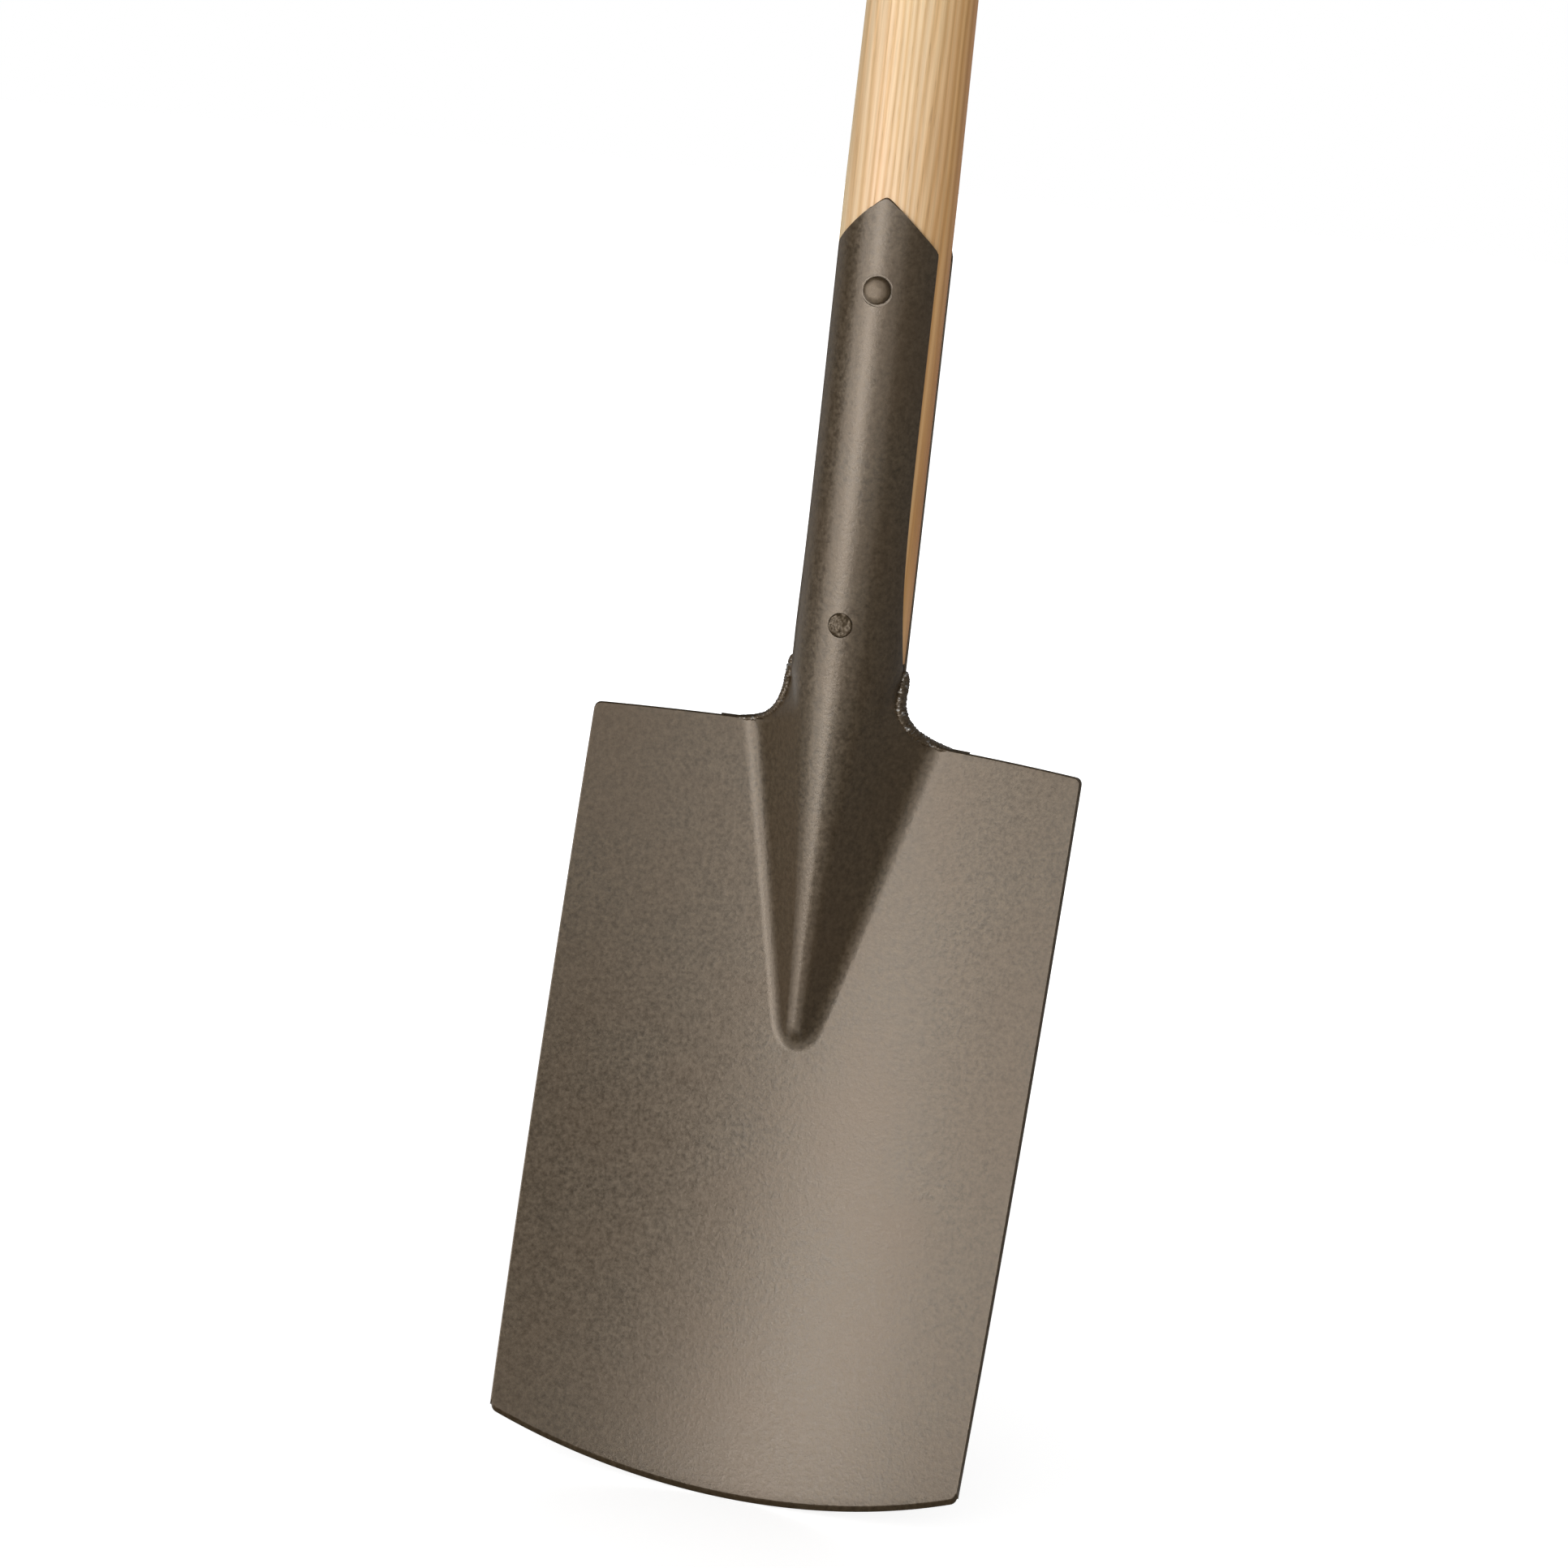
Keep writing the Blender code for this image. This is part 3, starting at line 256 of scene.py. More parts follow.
# Their noises: pitch, offset, detail, roughness
PAINT_NOISES = {
    "fine": (1100, (0, 0, 0), 3.0, 0.6),
    "blotch": (560, (3, 5, 7), 2.0, 0.5),
    "broad": (28, (11, 2, 5), 2.0, 0.5),
    "flake": (620, (9, 4, 1), 2.0, 0.5),
}
FINE_SHARE = 0.4  # of the mottling, the rest is blotches
MOTTLE_SPAN = (0.34, 0.66)
MOTTLE_CONTRAST = 0.32
MOTTLE_GLOSS = (-0.05, 0.07)
MOTTLE_SHEEN = 0.26
WARMTH = (1.12, 0.99, 0.86)  # change of the tint where the paint is warmer
WARM_SHARE = 0.5
WARM_SPAN = (0.35, 0.75)
FINE_RELIEF = 0.00008
BLOTCH_RELIEF = 0.00012
PAINT_BUMP = 0.5
PAINT_METALLIC = 0.4
FLAKE_SPAN = (0.64, 0.72)
BARE_STEEL = (0.46, 0.44, 0.41)

# Ash wood's noises: pitch across and along the grain, offset, detail, roughness
ASH_NOISES = {
    "sway": (34, 3.2, (0, 0, 0), 2.0, 0.5),
    "drift": (120, 5.0, (4, 9, 2), 2.0, 0.5),
    "fibre": (1500, 26, (0, 0, 0), 3.0, 0.6),
    "streak": (460, 9.0, (1, 6, 3), 2.5, 0.65),
    "pores": (2600, 90, (8, 3, 1), 1.0, 0.5),
    "cloud": (45, 4.0, (6, 1, 12), 1.0, 0.5),
}
RING_WIDTH = 0.0029
RING_SWAY = 30.0
RING_DRIFT = 11.0
RING_STOPS = ((0.0, (0.76, 0.52, 0.29)), (0.42, (0.85, 0.62, 0.385)), (1.0, (0.90, 0.70, 0.47)))
STREAK_STOPS = ((0.25, (0.84, 0.81, 0.77)), (0.75, (1.08, 1.07, 1.05)))
CLOUD_STOPS = ((0.3, (1.03, 0.955, 0.94)), (0.7, (0.98, 1.01, 0.93)))
FIBRE_STOPS = ((0.3, (0.90, 0.88, 0.86)), (0.7, (1.05, 1.05, 1.05)))
# Painted shade round the shaft, by the angle from its turned front: darker on the left, darker and
# browner towards the right limb
LIMB_SHADE_STOPS = ((0.30, (0.80, 0.82, 0.80)), (0.42, (1.0, 1.0, 1.0)), (0.52, (1.0, 1.0, 1.0)),
               (0.57, (0.97, 0.91, 0.80)), (0.65, (0.93, 0.74, 0.51)), (0.70, (0.78, 0.56, 0.40)),
               (0.745, (0.62, 0.38, 0.26)), (0.82, (0.86, 0.72, 0.60)), (0.92, (0.90, 0.90, 0.86)))
SHADE_EDGE_WANDER = 0.25  # how far the painted shade's edges stray, in radians
PORE_SPAN = (0.60, 0.70)
PORE_RING_SPAN = (0.1, 0.7)  # the rings' dark half has the pores
PORE_RING_SHARES = (1.0, 0.15)
PORE_SHARE = 0.45
PORE_COLOUR = (0.40, 0.235, 0.12)
PORE_DEPTH = 0.6
WOOD_RELIEF = 0.00007
WOOD_BUMP = 0.6
WOOD_GLOSS = (0.50, 0.66, 0.3, 0.7)  # two roughnesses, and the fibres' span between them
WOOD_SPECULAR = 0.35
X_AXIS, Z_AXIS = 0, 2
GRIP_GRAIN_TURN = 0.3
WEDGE_GRAIN_TURN = 1.2

# Numbers of the colour mixing node's sockets
MIX_INPUTS = (0, 6, 7)
MIX_OUTPUT = 2

# Studio
FLOOR_GAP = 0.0002
FLOOR = cad_bounds[0].z - FLOOR_GAP
FLOOR_RADIUS = 6.0
FLOOR_SEGMENTS = 96
FLOOR_ALBEDO = 0.80
FLOOR_ROUGHNESS = 0.9
FLOOR_SHINE = 0.62  # its own light below the tool, which is 1 further out
SHINE_SPAN = (0.25, 0.9)
WORLD_LIGHT = 0.38
WHITE = (1.0, 1.0, 1.0)
# Soft boxes: azimuth, distance, width, lower and upper end, radiance, seen in gloss
SOFT_BOXES = {
    "key": (-17, 2.0, 0.9, FLOOR, -0.78, 6.9),
    "low": (-38, 2.0, 0.9, FLOOR, -0.95, 5.0),
    "left": (-52, 2.0, 0.7, -1.00, -0.30, 3.0),
    "front": (-22, 2.0, 0.6, -1.04, 0.60, 3.8),
    "upper": (8, 2.0, 1.0, -0.36, 0.25, 1.2),
    "fill": (25, 2.0, 1.0, -0.90, 0.60, 0.9, False),
    "back": (165, 2.2, 1.5, -0.90, 0.60, 2.4, False),
}
DARK = 0.03
CEILING = 1.5
# Curved cards: first and last azimuth, distance, lower and upper end, grey, apron
CURVED_CARDS = {
    "right_card": (32, 184, 1.1, FLOOR + FLOOR_GAP, CEILING, 0.35, 0.13),
    "left_card": (-97, -54, 1.1, FLOOR, CEILING, DARK),
    "left_side_card": (-130, -98, 1.1, FLOOR, CEILING, 0.6),
    "left_rear_card": (-175, -131, 1.1, FLOOR, CEILING, DARK),
    "front_card": (-11, 60, 0.5, -1.00, -0.84, DARK),
}
# Level cards: radius, centre
LEVEL_CARDS = {
    "floor_card": (0.115, (0, -0.045, FLOOR + FLOOR_GAP / 2)),
    "ceiling_card": (2.4, (0, 0, CEILING)),
}
CARD_COLUMNS = 25
CARD_SEGMENTS = 64

# Camera, as it stands to the spade in the photograph, azimuth and elevation in degrees
CAMERA_AZIMUTH = 14.059
CAMERA_ELEVATION = 12.723
CAMERA_ROLL = radians(6.156)
CAMERA_DISTANCE = 1.56517
CAMERA_TARGET = Vector((-0.01962, 0.0, -0.81577))
SENSOR_WIDTH = 36.0
FOCAL_LENGTH = 97.162
CLIP_START = 0.05


def mix(a, b, t):
    """Value at t between a and b."""
    return a + (b - a) * t


def clamp(value, low=0.0, high=1.0):
    """Value held between low and high."""
    return max(low, min(high, value))


def rounding(t):
    """Quarter of a circle from 0 to 1."""
    return sqrt(1 - (1 - clamp(t)) ** 2)


def easing(t):
    """Soft passage from 0 to 1."""
    t = clamp(t)
    return t * t * (3 - 2 * t)


def soft_max(a, b):
    """Larger of two values, with a soft passage from one to the other."""
    return (a + b + hypot(a - b, BEND_SOFTNESS)) / 2


def steps_after(start, end, count):
    """Evenly spaced values up to end, without the start itself."""
    return np.linspace(start, end, count + 1)[1:]


def bisect(function, low, high):
    """Place between low and high where a rising function passes zero."""
    for _ in range(BISECTIONS):
        middle = (low + high) / 2
        if function(middle) > 0:
            high = middle
        else:
            low = middle
    return (low + high) / 2


# Face of the blade


def half_width(s):
    """Half of the blade's width at height s."""
    return mix(SHOULDER_HALF, CUTTING_HALF, clamp(-s / BLADE_LENGTH) ** SIDE_CURVE)


def dish(x, s):
    """How far the dished face stands forward of its middle line."""
    depth = mix(DISH_TOP, DISH_BOTTOM, clamp(-s / BLADE_LENGTH))
    return depth * (x / SHOULDER_HALF) ** 2 / cos(LEAN)


def floor_line(s):
    """Y of the middle of the blade's face, without its ridge."""
    return BLADE_SETBACK + s * tan(LEAN)


def floor_point(x, s, depth=0.0):
    """Point (x, y) of the dished face, or at a depth behind it, square to it."""
    slope = -2 * dish(x, s) / x if x else 0.0
    length = hypot(1.0, slope)
    return x - slope / length * depth, floor_line(s) - dish(x, s) + depth / length


def ridge_share(s):
    """0 at the ridge's tip, 1 at the neck's join."""
    return clamp((s - RIDGE_TIP) / (NECK_JOIN - RIDGE_TIP))


def crest_line(s):
    """Y of the ridge's crest, which runs on straight from the front strap."""
    return mix(floor_line(RIDGE_TIP) - RIDGE_TIP_HEIGHT, -STRAP_RADIUS, ridge_share(s))


def foot_half_width(s):
    """Distance from the middle to the ridge's foot."""
    return mix(RIDGE_HALF_WIDTH, RIDGE_TIP_HALF_WIDTH, min(-s / RIDGE_LENGTH, 1.0))


def ridge_arcs(s):
    """Radii of the ridge's crest and foot, as large as fits, and the slope of its flanks,
    which turn upright where the neck becomes a tube."""
    width, height = foot_half_width(s), floor_line(s) - crest_line(s)
    crest = mix(RIDGE_TIP_CREST_RADIUS, STRAP_RADIUS, ridge_share(s) ** CREST_SPREAD)
    foot = mix(RIDGE_FOOT_RADIUS_TOP, RIDGE_FOOT_RADIUS_TIP, clamp(-s / RIDGE_LENGTH))
    diagonal = width ** 2 + height ** 2
    held = min(1.0, diagonal / (2 * height * (crest + foot)))
    rest = max(diagonal - 2 * height * held * (crest + foot), 0.0)
    angle = 2 * atan(height / (width + sqrt(rest)))
    upright = clamp(s / NECK_JOIN) ** UPRIGHT_POWER
    return crest * held, foot * held, mix(angle, pi / 2, upright)


def plain_ridge(s):
    """Half section of the ridge over a flat floor: crest arc, flank and foot arc."""
    crest, foot, angle = ridge_arcs(s)
    turns = [angle * k / SECTION_POINTS for k in range(SECTION_POINTS + 1)]
    points = [(crest * sin(t), crest_line(s) + crest * (1 - cos(t))) for t in turns]
    x, y = points[-1]
    base = floor_line(s)
    foot_top = base - foot * (1 - cos(angle))
    end_x = x + max(foot_top - y, 0.0) / tan(angle)
    for k in range(1, SECTION_POINTS):
        t = k / SECTION_POINTS
        points.append((mix(x, end_x, t), mix(y, foot_top, t)))
    for turn in reversed(turns):
        points.append((end_x + foot * (sin(angle) - sin(turn)), base - foot * (1 - cos(turn))))
    return points


def ridge_squeeze(s):
    """Share of the ridge's width that its rounded tip leaves at height s."""
    return mix(RIDGE_TIP_BLUNTNESS, 1.0, rounding((s - RIDGE_TIP) / RIDGE_TIP_ROUNDING))


def ridge_section(s):
    """Half section of the blade's face from the ridge's crest to its foot."""
    base = floor_line(s)
    height = base - crest_line(s)
    swell = easing((s - RIDGE_TIP) / RIDGE_TIP_ROUNDING)
    squeeze = ridge_squeeze(s)
    dished = 1 - clamp(s / NECK_JOIN)
    points = []
    for x, y in plain_ridge(s):
        rise = swell * (base - y) / height
        points.append((x * squeeze, base - rise * height - dish(x, s) * (1 - rise) * dished))
    return points


def cut_section(points, x_limit, y_limit):
    """Section cut off where it first passes x_limit or y_limit."""
    kept = [points[0]]
    for a, b in zip(points, points[1:]):
        share = 1.0
        if b[0] > x_limit:
            share = min(share, (x_limit - a[0]) / (b[0] - a[0]))
        if b[1] > y_limit:
            share = min(share, (y_limit - a[1]) / (b[1] - a[1]))
        kept.append((mix(a[0], b[0], share), mix(a[1], b[1], share)))
        if share < 1.0:
            break
    return kept


def spread(points, steps):
    """Points at shares of a section's length, each with the way square to it."""
    points = np.array(points)
    places = np.concatenate([[0.0], np.cumsum(np.hypot(*np.diff(points, axis=0).T))])
    fine = np.linspace(0, places[-1], FINE_STEPS * len(points))
    x, y = np.interp(fine, places, points[:, 0]), np.interp(fine, places, points[:, 1])
    along_x, along_y = np.gradient(x), np.gradient(y)
    along_y[0] = 0.0
    window = np.ones(2 * SMOOTHING + 1) / (2 * SMOOTHING + 1)
    smooth = []
    for along, mirrored in ((along_x, 1), (along_y, -1)):
        padded = np.concatenate([mirrored * along[SMOOTHING:0:-1], along,
                                 along[-1:].repeat(SMOOTHING)])
        smooth.append(np.convolve(padded, window, "valid"))
    along_x, along_y = smooth / np.hypot(*smooth)
    wanted = np.asarray(steps) * places[-1]
    return [tuple(row) for row in np.array(
        [np.interp(wanted, fine, values) for values in (x, y, -along_y, along_x)]).T]


# Outlines, seen from the front


def neck_outline(s):
    """Distance from the middle to the edge of the metal in the neck."""
    if s >= NECK_FILLET:
        return STRAP_RADIUS
    return NECK_CENTRE - sqrt(NECK_FILLET ** 2 - (NECK_FILLET - s) ** 2)


def shoulder_line(x):
    """Height of the blade's upper edge at a distance x from the middle."""
    if x < NECK_CENTRE:
        return NECK_FILLET - sqrt(NECK_FILLET ** 2 - (NECK_CENTRE - x) ** 2)
    over = clamp(x - (SHOULDER_HALF - UPPER_CORNER_RADIUS), 0.0, UPPER_CORNER_RADIUS)
    return sqrt(UPPER_CORNER_RADIUS ** 2 - over ** 2) - UPPER_CORNER_RADIUS


def cutting_line(x):
    """Height of the cutting edge at a distance x from the middle."""
    rise = CUTTING_EDGE_RADIUS - sqrt(CUTTING_EDGE_RADIUS ** 2 - x ** 2)
    over = clamp(x - (CUTTING_HALF - LOWER_CORNER_RADIUS), 0.0, LOWER_CORNER_RADIUS)
    corner = LOWER_CORNER_RADIUS - sqrt(LOWER_CORNER_RADIUS ** 2 - over ** 2)
    return rise + corner - BLADE_LENGTH


NECK_FOOT = bisect(lambda s: foot_half_width(s) - neck_outline(s), 0.0, NECK_FILLET / 2)


def neck_section(s):
    """Half section of the front sheet in the neck, up to the neck's outline."""
    y_limit = -SEAM_GAP / 2 if s >= NECK_FILLET else inf
    return cut_section(ridge_section(s), neck_outline(s), y_limit)


# Rear strap


def back_line(s):
    """Y of the middle of the rear strap's back."""
    tongue_end = floor_line(-SWELL_LENGTH) + LAP_DEPTH + SHEET
    bend_share = (BACK_BEND_HEIGHT - s) / (BACK_BEND_HEIGHT + SWELL_LENGTH)
    sloping = mix(STRAP_RADIUS, tongue_end, bend_share)
    straight = -soft_max(-STRAP_RADIUS, -sloping)
    return soft_max(straight, floor_line(s) + LAP_DEPTH + SHEET)


def rear_edge(s):
    """End of the rear strap's half section and the way it points there."""
    if s > NECK_FOOT:
        share = s / NECK_JOIN
        y = neck_section(s)[-1][1] + mix(LAP_DEPTH + SHEET, SEAM_GAP, share)
        return neck_outline(s), y, -pi / 2 * share ** REAR_TURN_POWER
    x = foot_half_width(s)
    return *floor_point(x, s, LAP_DEPTH + SHEET), atan(-2 * dish(x, s) / x)


def rear_section(s):
    """Half section of the rear strap's back, from the middle outwards."""
    x, y, angle = rear_edge(s)
    top = back_line(s)
    handle = SECTION_HANDLE * hypot(x, top - y)
    curve = ((0.0, top), (handle, top), (x - handle * cos(angle), y - handle * sin(angle)), (x, y))
    points = []
    for k in range(2 * SECTION_POINTS + 1):
        t = k / (2 * SECTION_POINTS)
        weights = ((1 - t) ** 3, 3 * t * (1 - t) ** 2, 3 * t * t * (1 - t), t ** 3)
        points.append(tuple(sum(w * p[i] for w, p in zip(weights, curve)) for i in (0, 1)))
    return points


def tongue_squeeze(s):
    """Share of the tongue's width that its rounded tip leaves at height s."""
    return mix(TONGUE_TIP_BLUNTNESS, 1.0, rounding((s - TONGUE_TIP) / TONGUE_TIP_ROUNDING))


def strap_angle(s, corner_height, corner_angle):
    """Half of what a strap wraps at height s."""
    share = clamp((corner_height - s) / (corner_height - NECK_JOIN))
    return mix(corner_angle, CLOSING_ANGLE, share ** CLOSING_POWER)


# Building blocks


def finish_mesh(name, bm, place=HEAD):
    """Object with its faces pointing out, in the head's frame unless told otherwise."""
    bmesh.ops.recalc_face_normals(bm, faces=bm.faces)
    if bm.calc_volume(signed=True) < 0:
        bmesh.ops.reverse_faces(bm, faces=bm.faces)
    mesh = bpy.data.meshes.new(name)
    bm.to_mesh(mesh)
    bm.free()
    obj = bpy.data.objects.new(name, mesh)
    obj.matrix_world = place
    bpy.context.scene.collection.objects.link(obj)
    return obj


def sheet_mesh(name, outer, inner, cells):
    """Closed sheet between two matching grids, its cut edges marked for rounding."""
    bm = bmesh.new()
    weight = bm.edges.layers.float.new("bevel_weight_edge")
    outer_verts = {key: bm.verts.new(point) for key, point in outer.items()}
    inner_verts = {key: bm.verts.new(point) for key, point in inner.items()}
    rim = set()
    for i, j in cells:
        loop = [(i, j), (i + 1, j), (i + 1, j + 1), (i, j + 1)]
        bm.faces.new([outer_verts[key] for key in loop])
        bm.faces.new([inner_verts[key] for key in reversed(loop)])
        for a, b in zip(loop, loop[1:] + loop[:1]):
            if (b, a) in rim:
                rim.remove((b, a))
            else:
                rim.add((a, b))
    for a, b in sorted(rim):
        bm.faces.new([outer_verts[b], outer_verts[a], inner_verts[a], inner_verts[b]])
        for verts in (outer_verts, inner_verts):
            bm.edges.get((verts[a], verts[b]))[weight] = 1.0
    return finish_mesh(name, bm)


def loft_mesh(name, rings, place=HEAD):
    """Closed body through rings of points, with both ends filled."""
    bm = bmesh.new()
    loops = [[bm.verts.new(point) for point in ring] for ring in rings]
    for low, high in zip(loops, loops[1:]):
        for k, vert in enumerate(low):
            after = (k + 1) % len(low)
            bm.faces.new([vert, low[after], high[after], high[k]])
    bm.faces.new(list(reversed(loops[0])))
    bm.faces.new(loops[-1])
    return finish_mesh(name, bm, place)


def turned_mesh(name, profile, centre, axis, segments, place=HEAD):
    """Closed turned body from pairs of a place along the axis and a radius."""
    axis = Vector(axis)
    across = Vector((0, 0, 1)) if axis.z == 0 else Vector((1, 0, 0))
    side = axis.cross(across)
    turns = [2 * pi * k / segments for k in range(segments)]
    rings = []
    for along, radius in profile:
        middle = Vector(centre) + axis * along
        rings.append([middle + (across * cos(t) + side * sin(t)) * radius for t in turns])
    return loft_mesh(name, rings, place)


def disc_mesh(name, radius, segments, centre):
    """Level disc."""
    bm = bmesh.new()
    bmesh.ops.create_circle(bm, cap_ends=True, segments=segments, radius=radius)
    return finish_mesh(name, bm, Matrix.Translation(centre))


def soften(obj, radius, by_weight=True):
    """Rounds an object's marked edges, or all of its sharp ones."""
    modifier = obj.modifiers.new("rounded", "BEVEL")
    modifier.limit_method = "WEIGHT" if by_weight else "ANGLE"
    modifier.angle_limit = SOFTENED_ANGLE
    modifier.width = radius
    modifier.segments = SOFTENED_SEGMENTS
    modifier.use_clamp_overlap = False


def subtract(obj, *cutters):
    """Takes cutters away from an object."""
    for cutter in cutters:
        modifier = obj.modifiers.new("without_" + cutter.name, "BOOLEAN")
        modifier.operation = "DIFFERENCE"
        modifier.solver = "EXACT"
        modifier.object = cutter


def settle(obj):
    """Applies an object's modifiers and shades it smooth, with its sharp edges kept."""
    graph = bpy.context.evaluated_depsgraph_get()
    graph.update()
    mesh = bpy.data.meshes.new_from_object(obj.evaluated_get(graph))
    obj.modifiers.clear()
    bm = bmesh.new()
    bm.from_mesh(mesh)
    bmesh.ops.remove_doubles(bm, verts=bm.verts, dist=MERGE_DISTANCE)
    bmesh.ops.dissolve_degenerate(bm, edges=bm.edges, dist=MERGE_DISTANCE)
    bm.to_mesh(mesh)
    bm.free()
    obj.data = mesh
    mesh.shade_smooth()
    mesh.set_sharp_from_angle(angle=SHARP_ANGLE)
    weighted = obj.modifiers.new("even_shading", "WEIGHTED_NORMAL")
    weighted.keep_sharp = True


def place_piece(obj, material, slot, *nodes):
    """Settles and dresses a piece, sets it on the tool and lets it stand for CAD nodes."""
    settle(obj)
    obj.data.materials.clear()
    obj.data.materials.append(material)
    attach(obj, "root")
    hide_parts(*nodes)


# Sheets


def pair(grid, row, column, x, y, s):
    """Point and its mirror image."""
    grid[row, column] = (x, y, s)
    grid[row, -column] = (-x, y, s)


def strap_top(reach, step):
    """Height of a strap's upper edge at a share of its half width, its point softened."""
    soft = STRAP_POINT_SOFTNESS
    share = (hypot(step, soft) - soft) / (hypot(1, soft) - soft)
    return reach - STRAP_POINT_DROP * share


def strap_grid(strap, outer_radius, inner_radius, margin=0.0):
    """Grids of a strap round the shaft, from its point down to the neck's join."""
    reach, angle, facing = strap
    corner = reach - STRAP_POINT_DROP
    grids = ({}, {})
    shares = 1 - np.linspace(0, 1, STRAP_ROWS) ** STRAP_ROW_POWER
    for row, share in enumerate(shares):
        below = (1 - share) * (corner - NECK_JOIN) / STRAP_CORNER_RADIUS
        corner_cut = STRAP_CORNER_RADIUS * (1 - rounding(below)) / STRAP_RADIUS
        for column, step in enumerate(BAND_STEPS):
            s = mix(NECK_JOIN - margin, strap_top(reach, step) + margin, share)
            turn = strap_angle(s, corner, angle) + margin / STRAP_RADIUS - corner_cut
            for grid, radius in zip(grids, (outer_radius, inner_radius)):
                pair(grid, row, column, radius * sin(turn * step),
                     -facing * radius * cos(turn * step), s)
    return grids


def band_row(grids, row, section, depths, s, squeeze=1.0):
    """Row of the middle columns along one section."""
    for column, (x, y, across_x, across_y) in enumerate(spread(section, BAND_STEPS)):
        for grid, depth in zip(grids, depths):
            pair(grid, row, column, (x + across_x * depth) * squeeze, y + across_y * depth, s)


def sheet_cells(rows, shoulder_row, wing):
    """Cells of a T-shaped grid: a narrow band that widens at its shoulder row."""
    band = len(BAND_STEPS) - 1
    cells = []
    for i in range(rows - 1):
        reach = band if i < shoulder_row else band + wing
        cells += [(i, j) for j in range(-reach, reach)]
    return cells


def middle_half_width(s):
    """Half width of the middle columns at height s."""
    if s > RIDGE_TIP:
        return foot_half_width(min(s, NECK_FOOT)) * ridge_squeeze(s)
    tip = RIDGE_TIP_HALF_WIDTH * RIDGE_TIP_BLUNTNESS
    end = CUTTING_HALF * BAND_END_SHARE
    return mix(tip, end, (RIDGE_TIP - s) / (BLADE_LENGTH - RIDGE_LENGTH))


def upper_heights():
    """Heights of the blade's rows along its ridge."""
    tip = RIDGE_TIP + RIDGE_TIP_ROUNDING
    heights = list(steps_after(NECK_FOOT, tip, RIDGE_ROWS))
    return heights + [RIDGE_TIP + RIDGE_TIP_ROUNDING * t * t for t in steps_after(1, 0, TIP_ROWS)]


def lower_shares():
    """Shares of the way from the ridge's tip to the cutting edge, with the bevel's share."""
    bevel = BEVEL_WIDTH / (BLADE_LENGTH - RIDGE_LENGTH)
    shares = [(t, 0.0) for t in steps_after(0, 1 - bevel, LOWER_ROWS)]
    return shares + [(mix(1 - bevel, 1.0, t), t) for t in steps_after(0, 1, BEVEL_ROWS)]


def wing_shares():
    """Shares of the way from the ridge's foot to the blade's side, and distances there."""
    inner = foot_half_width(NECK_FOOT)
    outer = SHOULDER_HALF - UPPER_CORNER_RADIUS
    starts = list(steps_after(inner, outer, WING_COLUMNS))
    turns = [*np.linspace(0, CORNER_TURN, CORNER_COLUMNS)[1:], pi / 2]
    starts += [outer + UPPER_CORNER_RADIUS * sin(turn) for turn in turns]
    return [((x - inner) / (SHOULDER_HALF - inner), x) for x in starts]


def wing_place(share, outer_share, start, s):
    """Distance and height of a point outside the ridge's columns: share is None above
    the ridge's tip, where s is the height of the row's inner end."""
    top = shoulder_line(start)
    if share is None:
        s = mix(RIDGE_TIP, top, (s - RIDGE_TIP) / (NECK_FOOT - RIDGE_TIP))
        return mix(middle_half_width(s), half_width(s), outer_share), s
    s = mix(RIDGE_TIP, -BLADE_LENGTH, share)
    for _ in range(SETTLE_ROUNDS):
        x = mix(middle_half_width(s), half_width(s), outer_share)
        s = mix(RIDGE_TIP, cutting_line(min(x, CUTTING_HALF)), share)
    return x, s


def floor_row(grids, row, column, depths, places):
    """Columns over the dished floor, from pairs of a distance and a height."""
    for k, (x, s) in enumerate(places, column):
        for grid, depth in zip(grids, depths):
            pair(grid, row, k, *floor_point(x, s, depth), s)


def wing_row(grids, row, depths, share, s):
    """Outer columns of one row of the blade."""
    places = [wing_place(share, *outer, s) for outer in wing_shares()]
    floor_row(grids, row, len(BAND_STEPS), depths, places)


def lower_band_row(grids, row, depths, share):
    """Middle columns of one row below the ridge."""
    places = []
    for step in BAND_STEPS:
        s = mix(RIDGE_TIP, -BLADE_LENGTH, share)
        for _ in range(SETTLE_ROUNDS):
            x = middle_half_width(s) * step
            s = mix(RIDGE_TIP, cutting_line(x), share)
        places.append((x, s))
    floor_row(grids, row, 0, depths, places)


def upper_sheet(strap, section, depths):
    """Grids of a strap and its half of the neck, and the number of their rows."""
    grids = strap_grid(strap, STRAP_RADIUS, STRAP_RADIUS - SHEET)
    for row, s in enumerate(steps_after(NECK_JOIN, NECK_FOOT, NECK_ROWS), STRAP_ROWS):
        band_row(grids, row, section(s), depths, s)
    return grids, row + 1


def blade_sheet():
    """Pressed blade and front strap, one sheet of metal."""
    flat = (0.0, SHEET)
    grids, row = upper_sheet(FRONT_STRAP, neck_section, flat)
    shoulder_row = row - 1
    wing_row(grids, shoulder_row, flat, None, NECK_FOOT)
    for s in upper_heights():
        band_row(grids, row, ridge_section(s), flat, s)
        wing_row(grids, row, flat, None, s)
        row += 1
    for share, bevel in lower_shares():
        depths = (BEVEL_DEPTH * bevel ** BEVEL_POWER, SHEET)
        lower_band_row(grids, row, depths, share)
        wing_row(grids, row, depths, share, None)
        row += 1
    cells = sheet_cells(row, shoulder_row, WING_COLUMNS + CORNER_COLUMNS)
    return sheet_mesh("blade_sheet", *grids, cells)


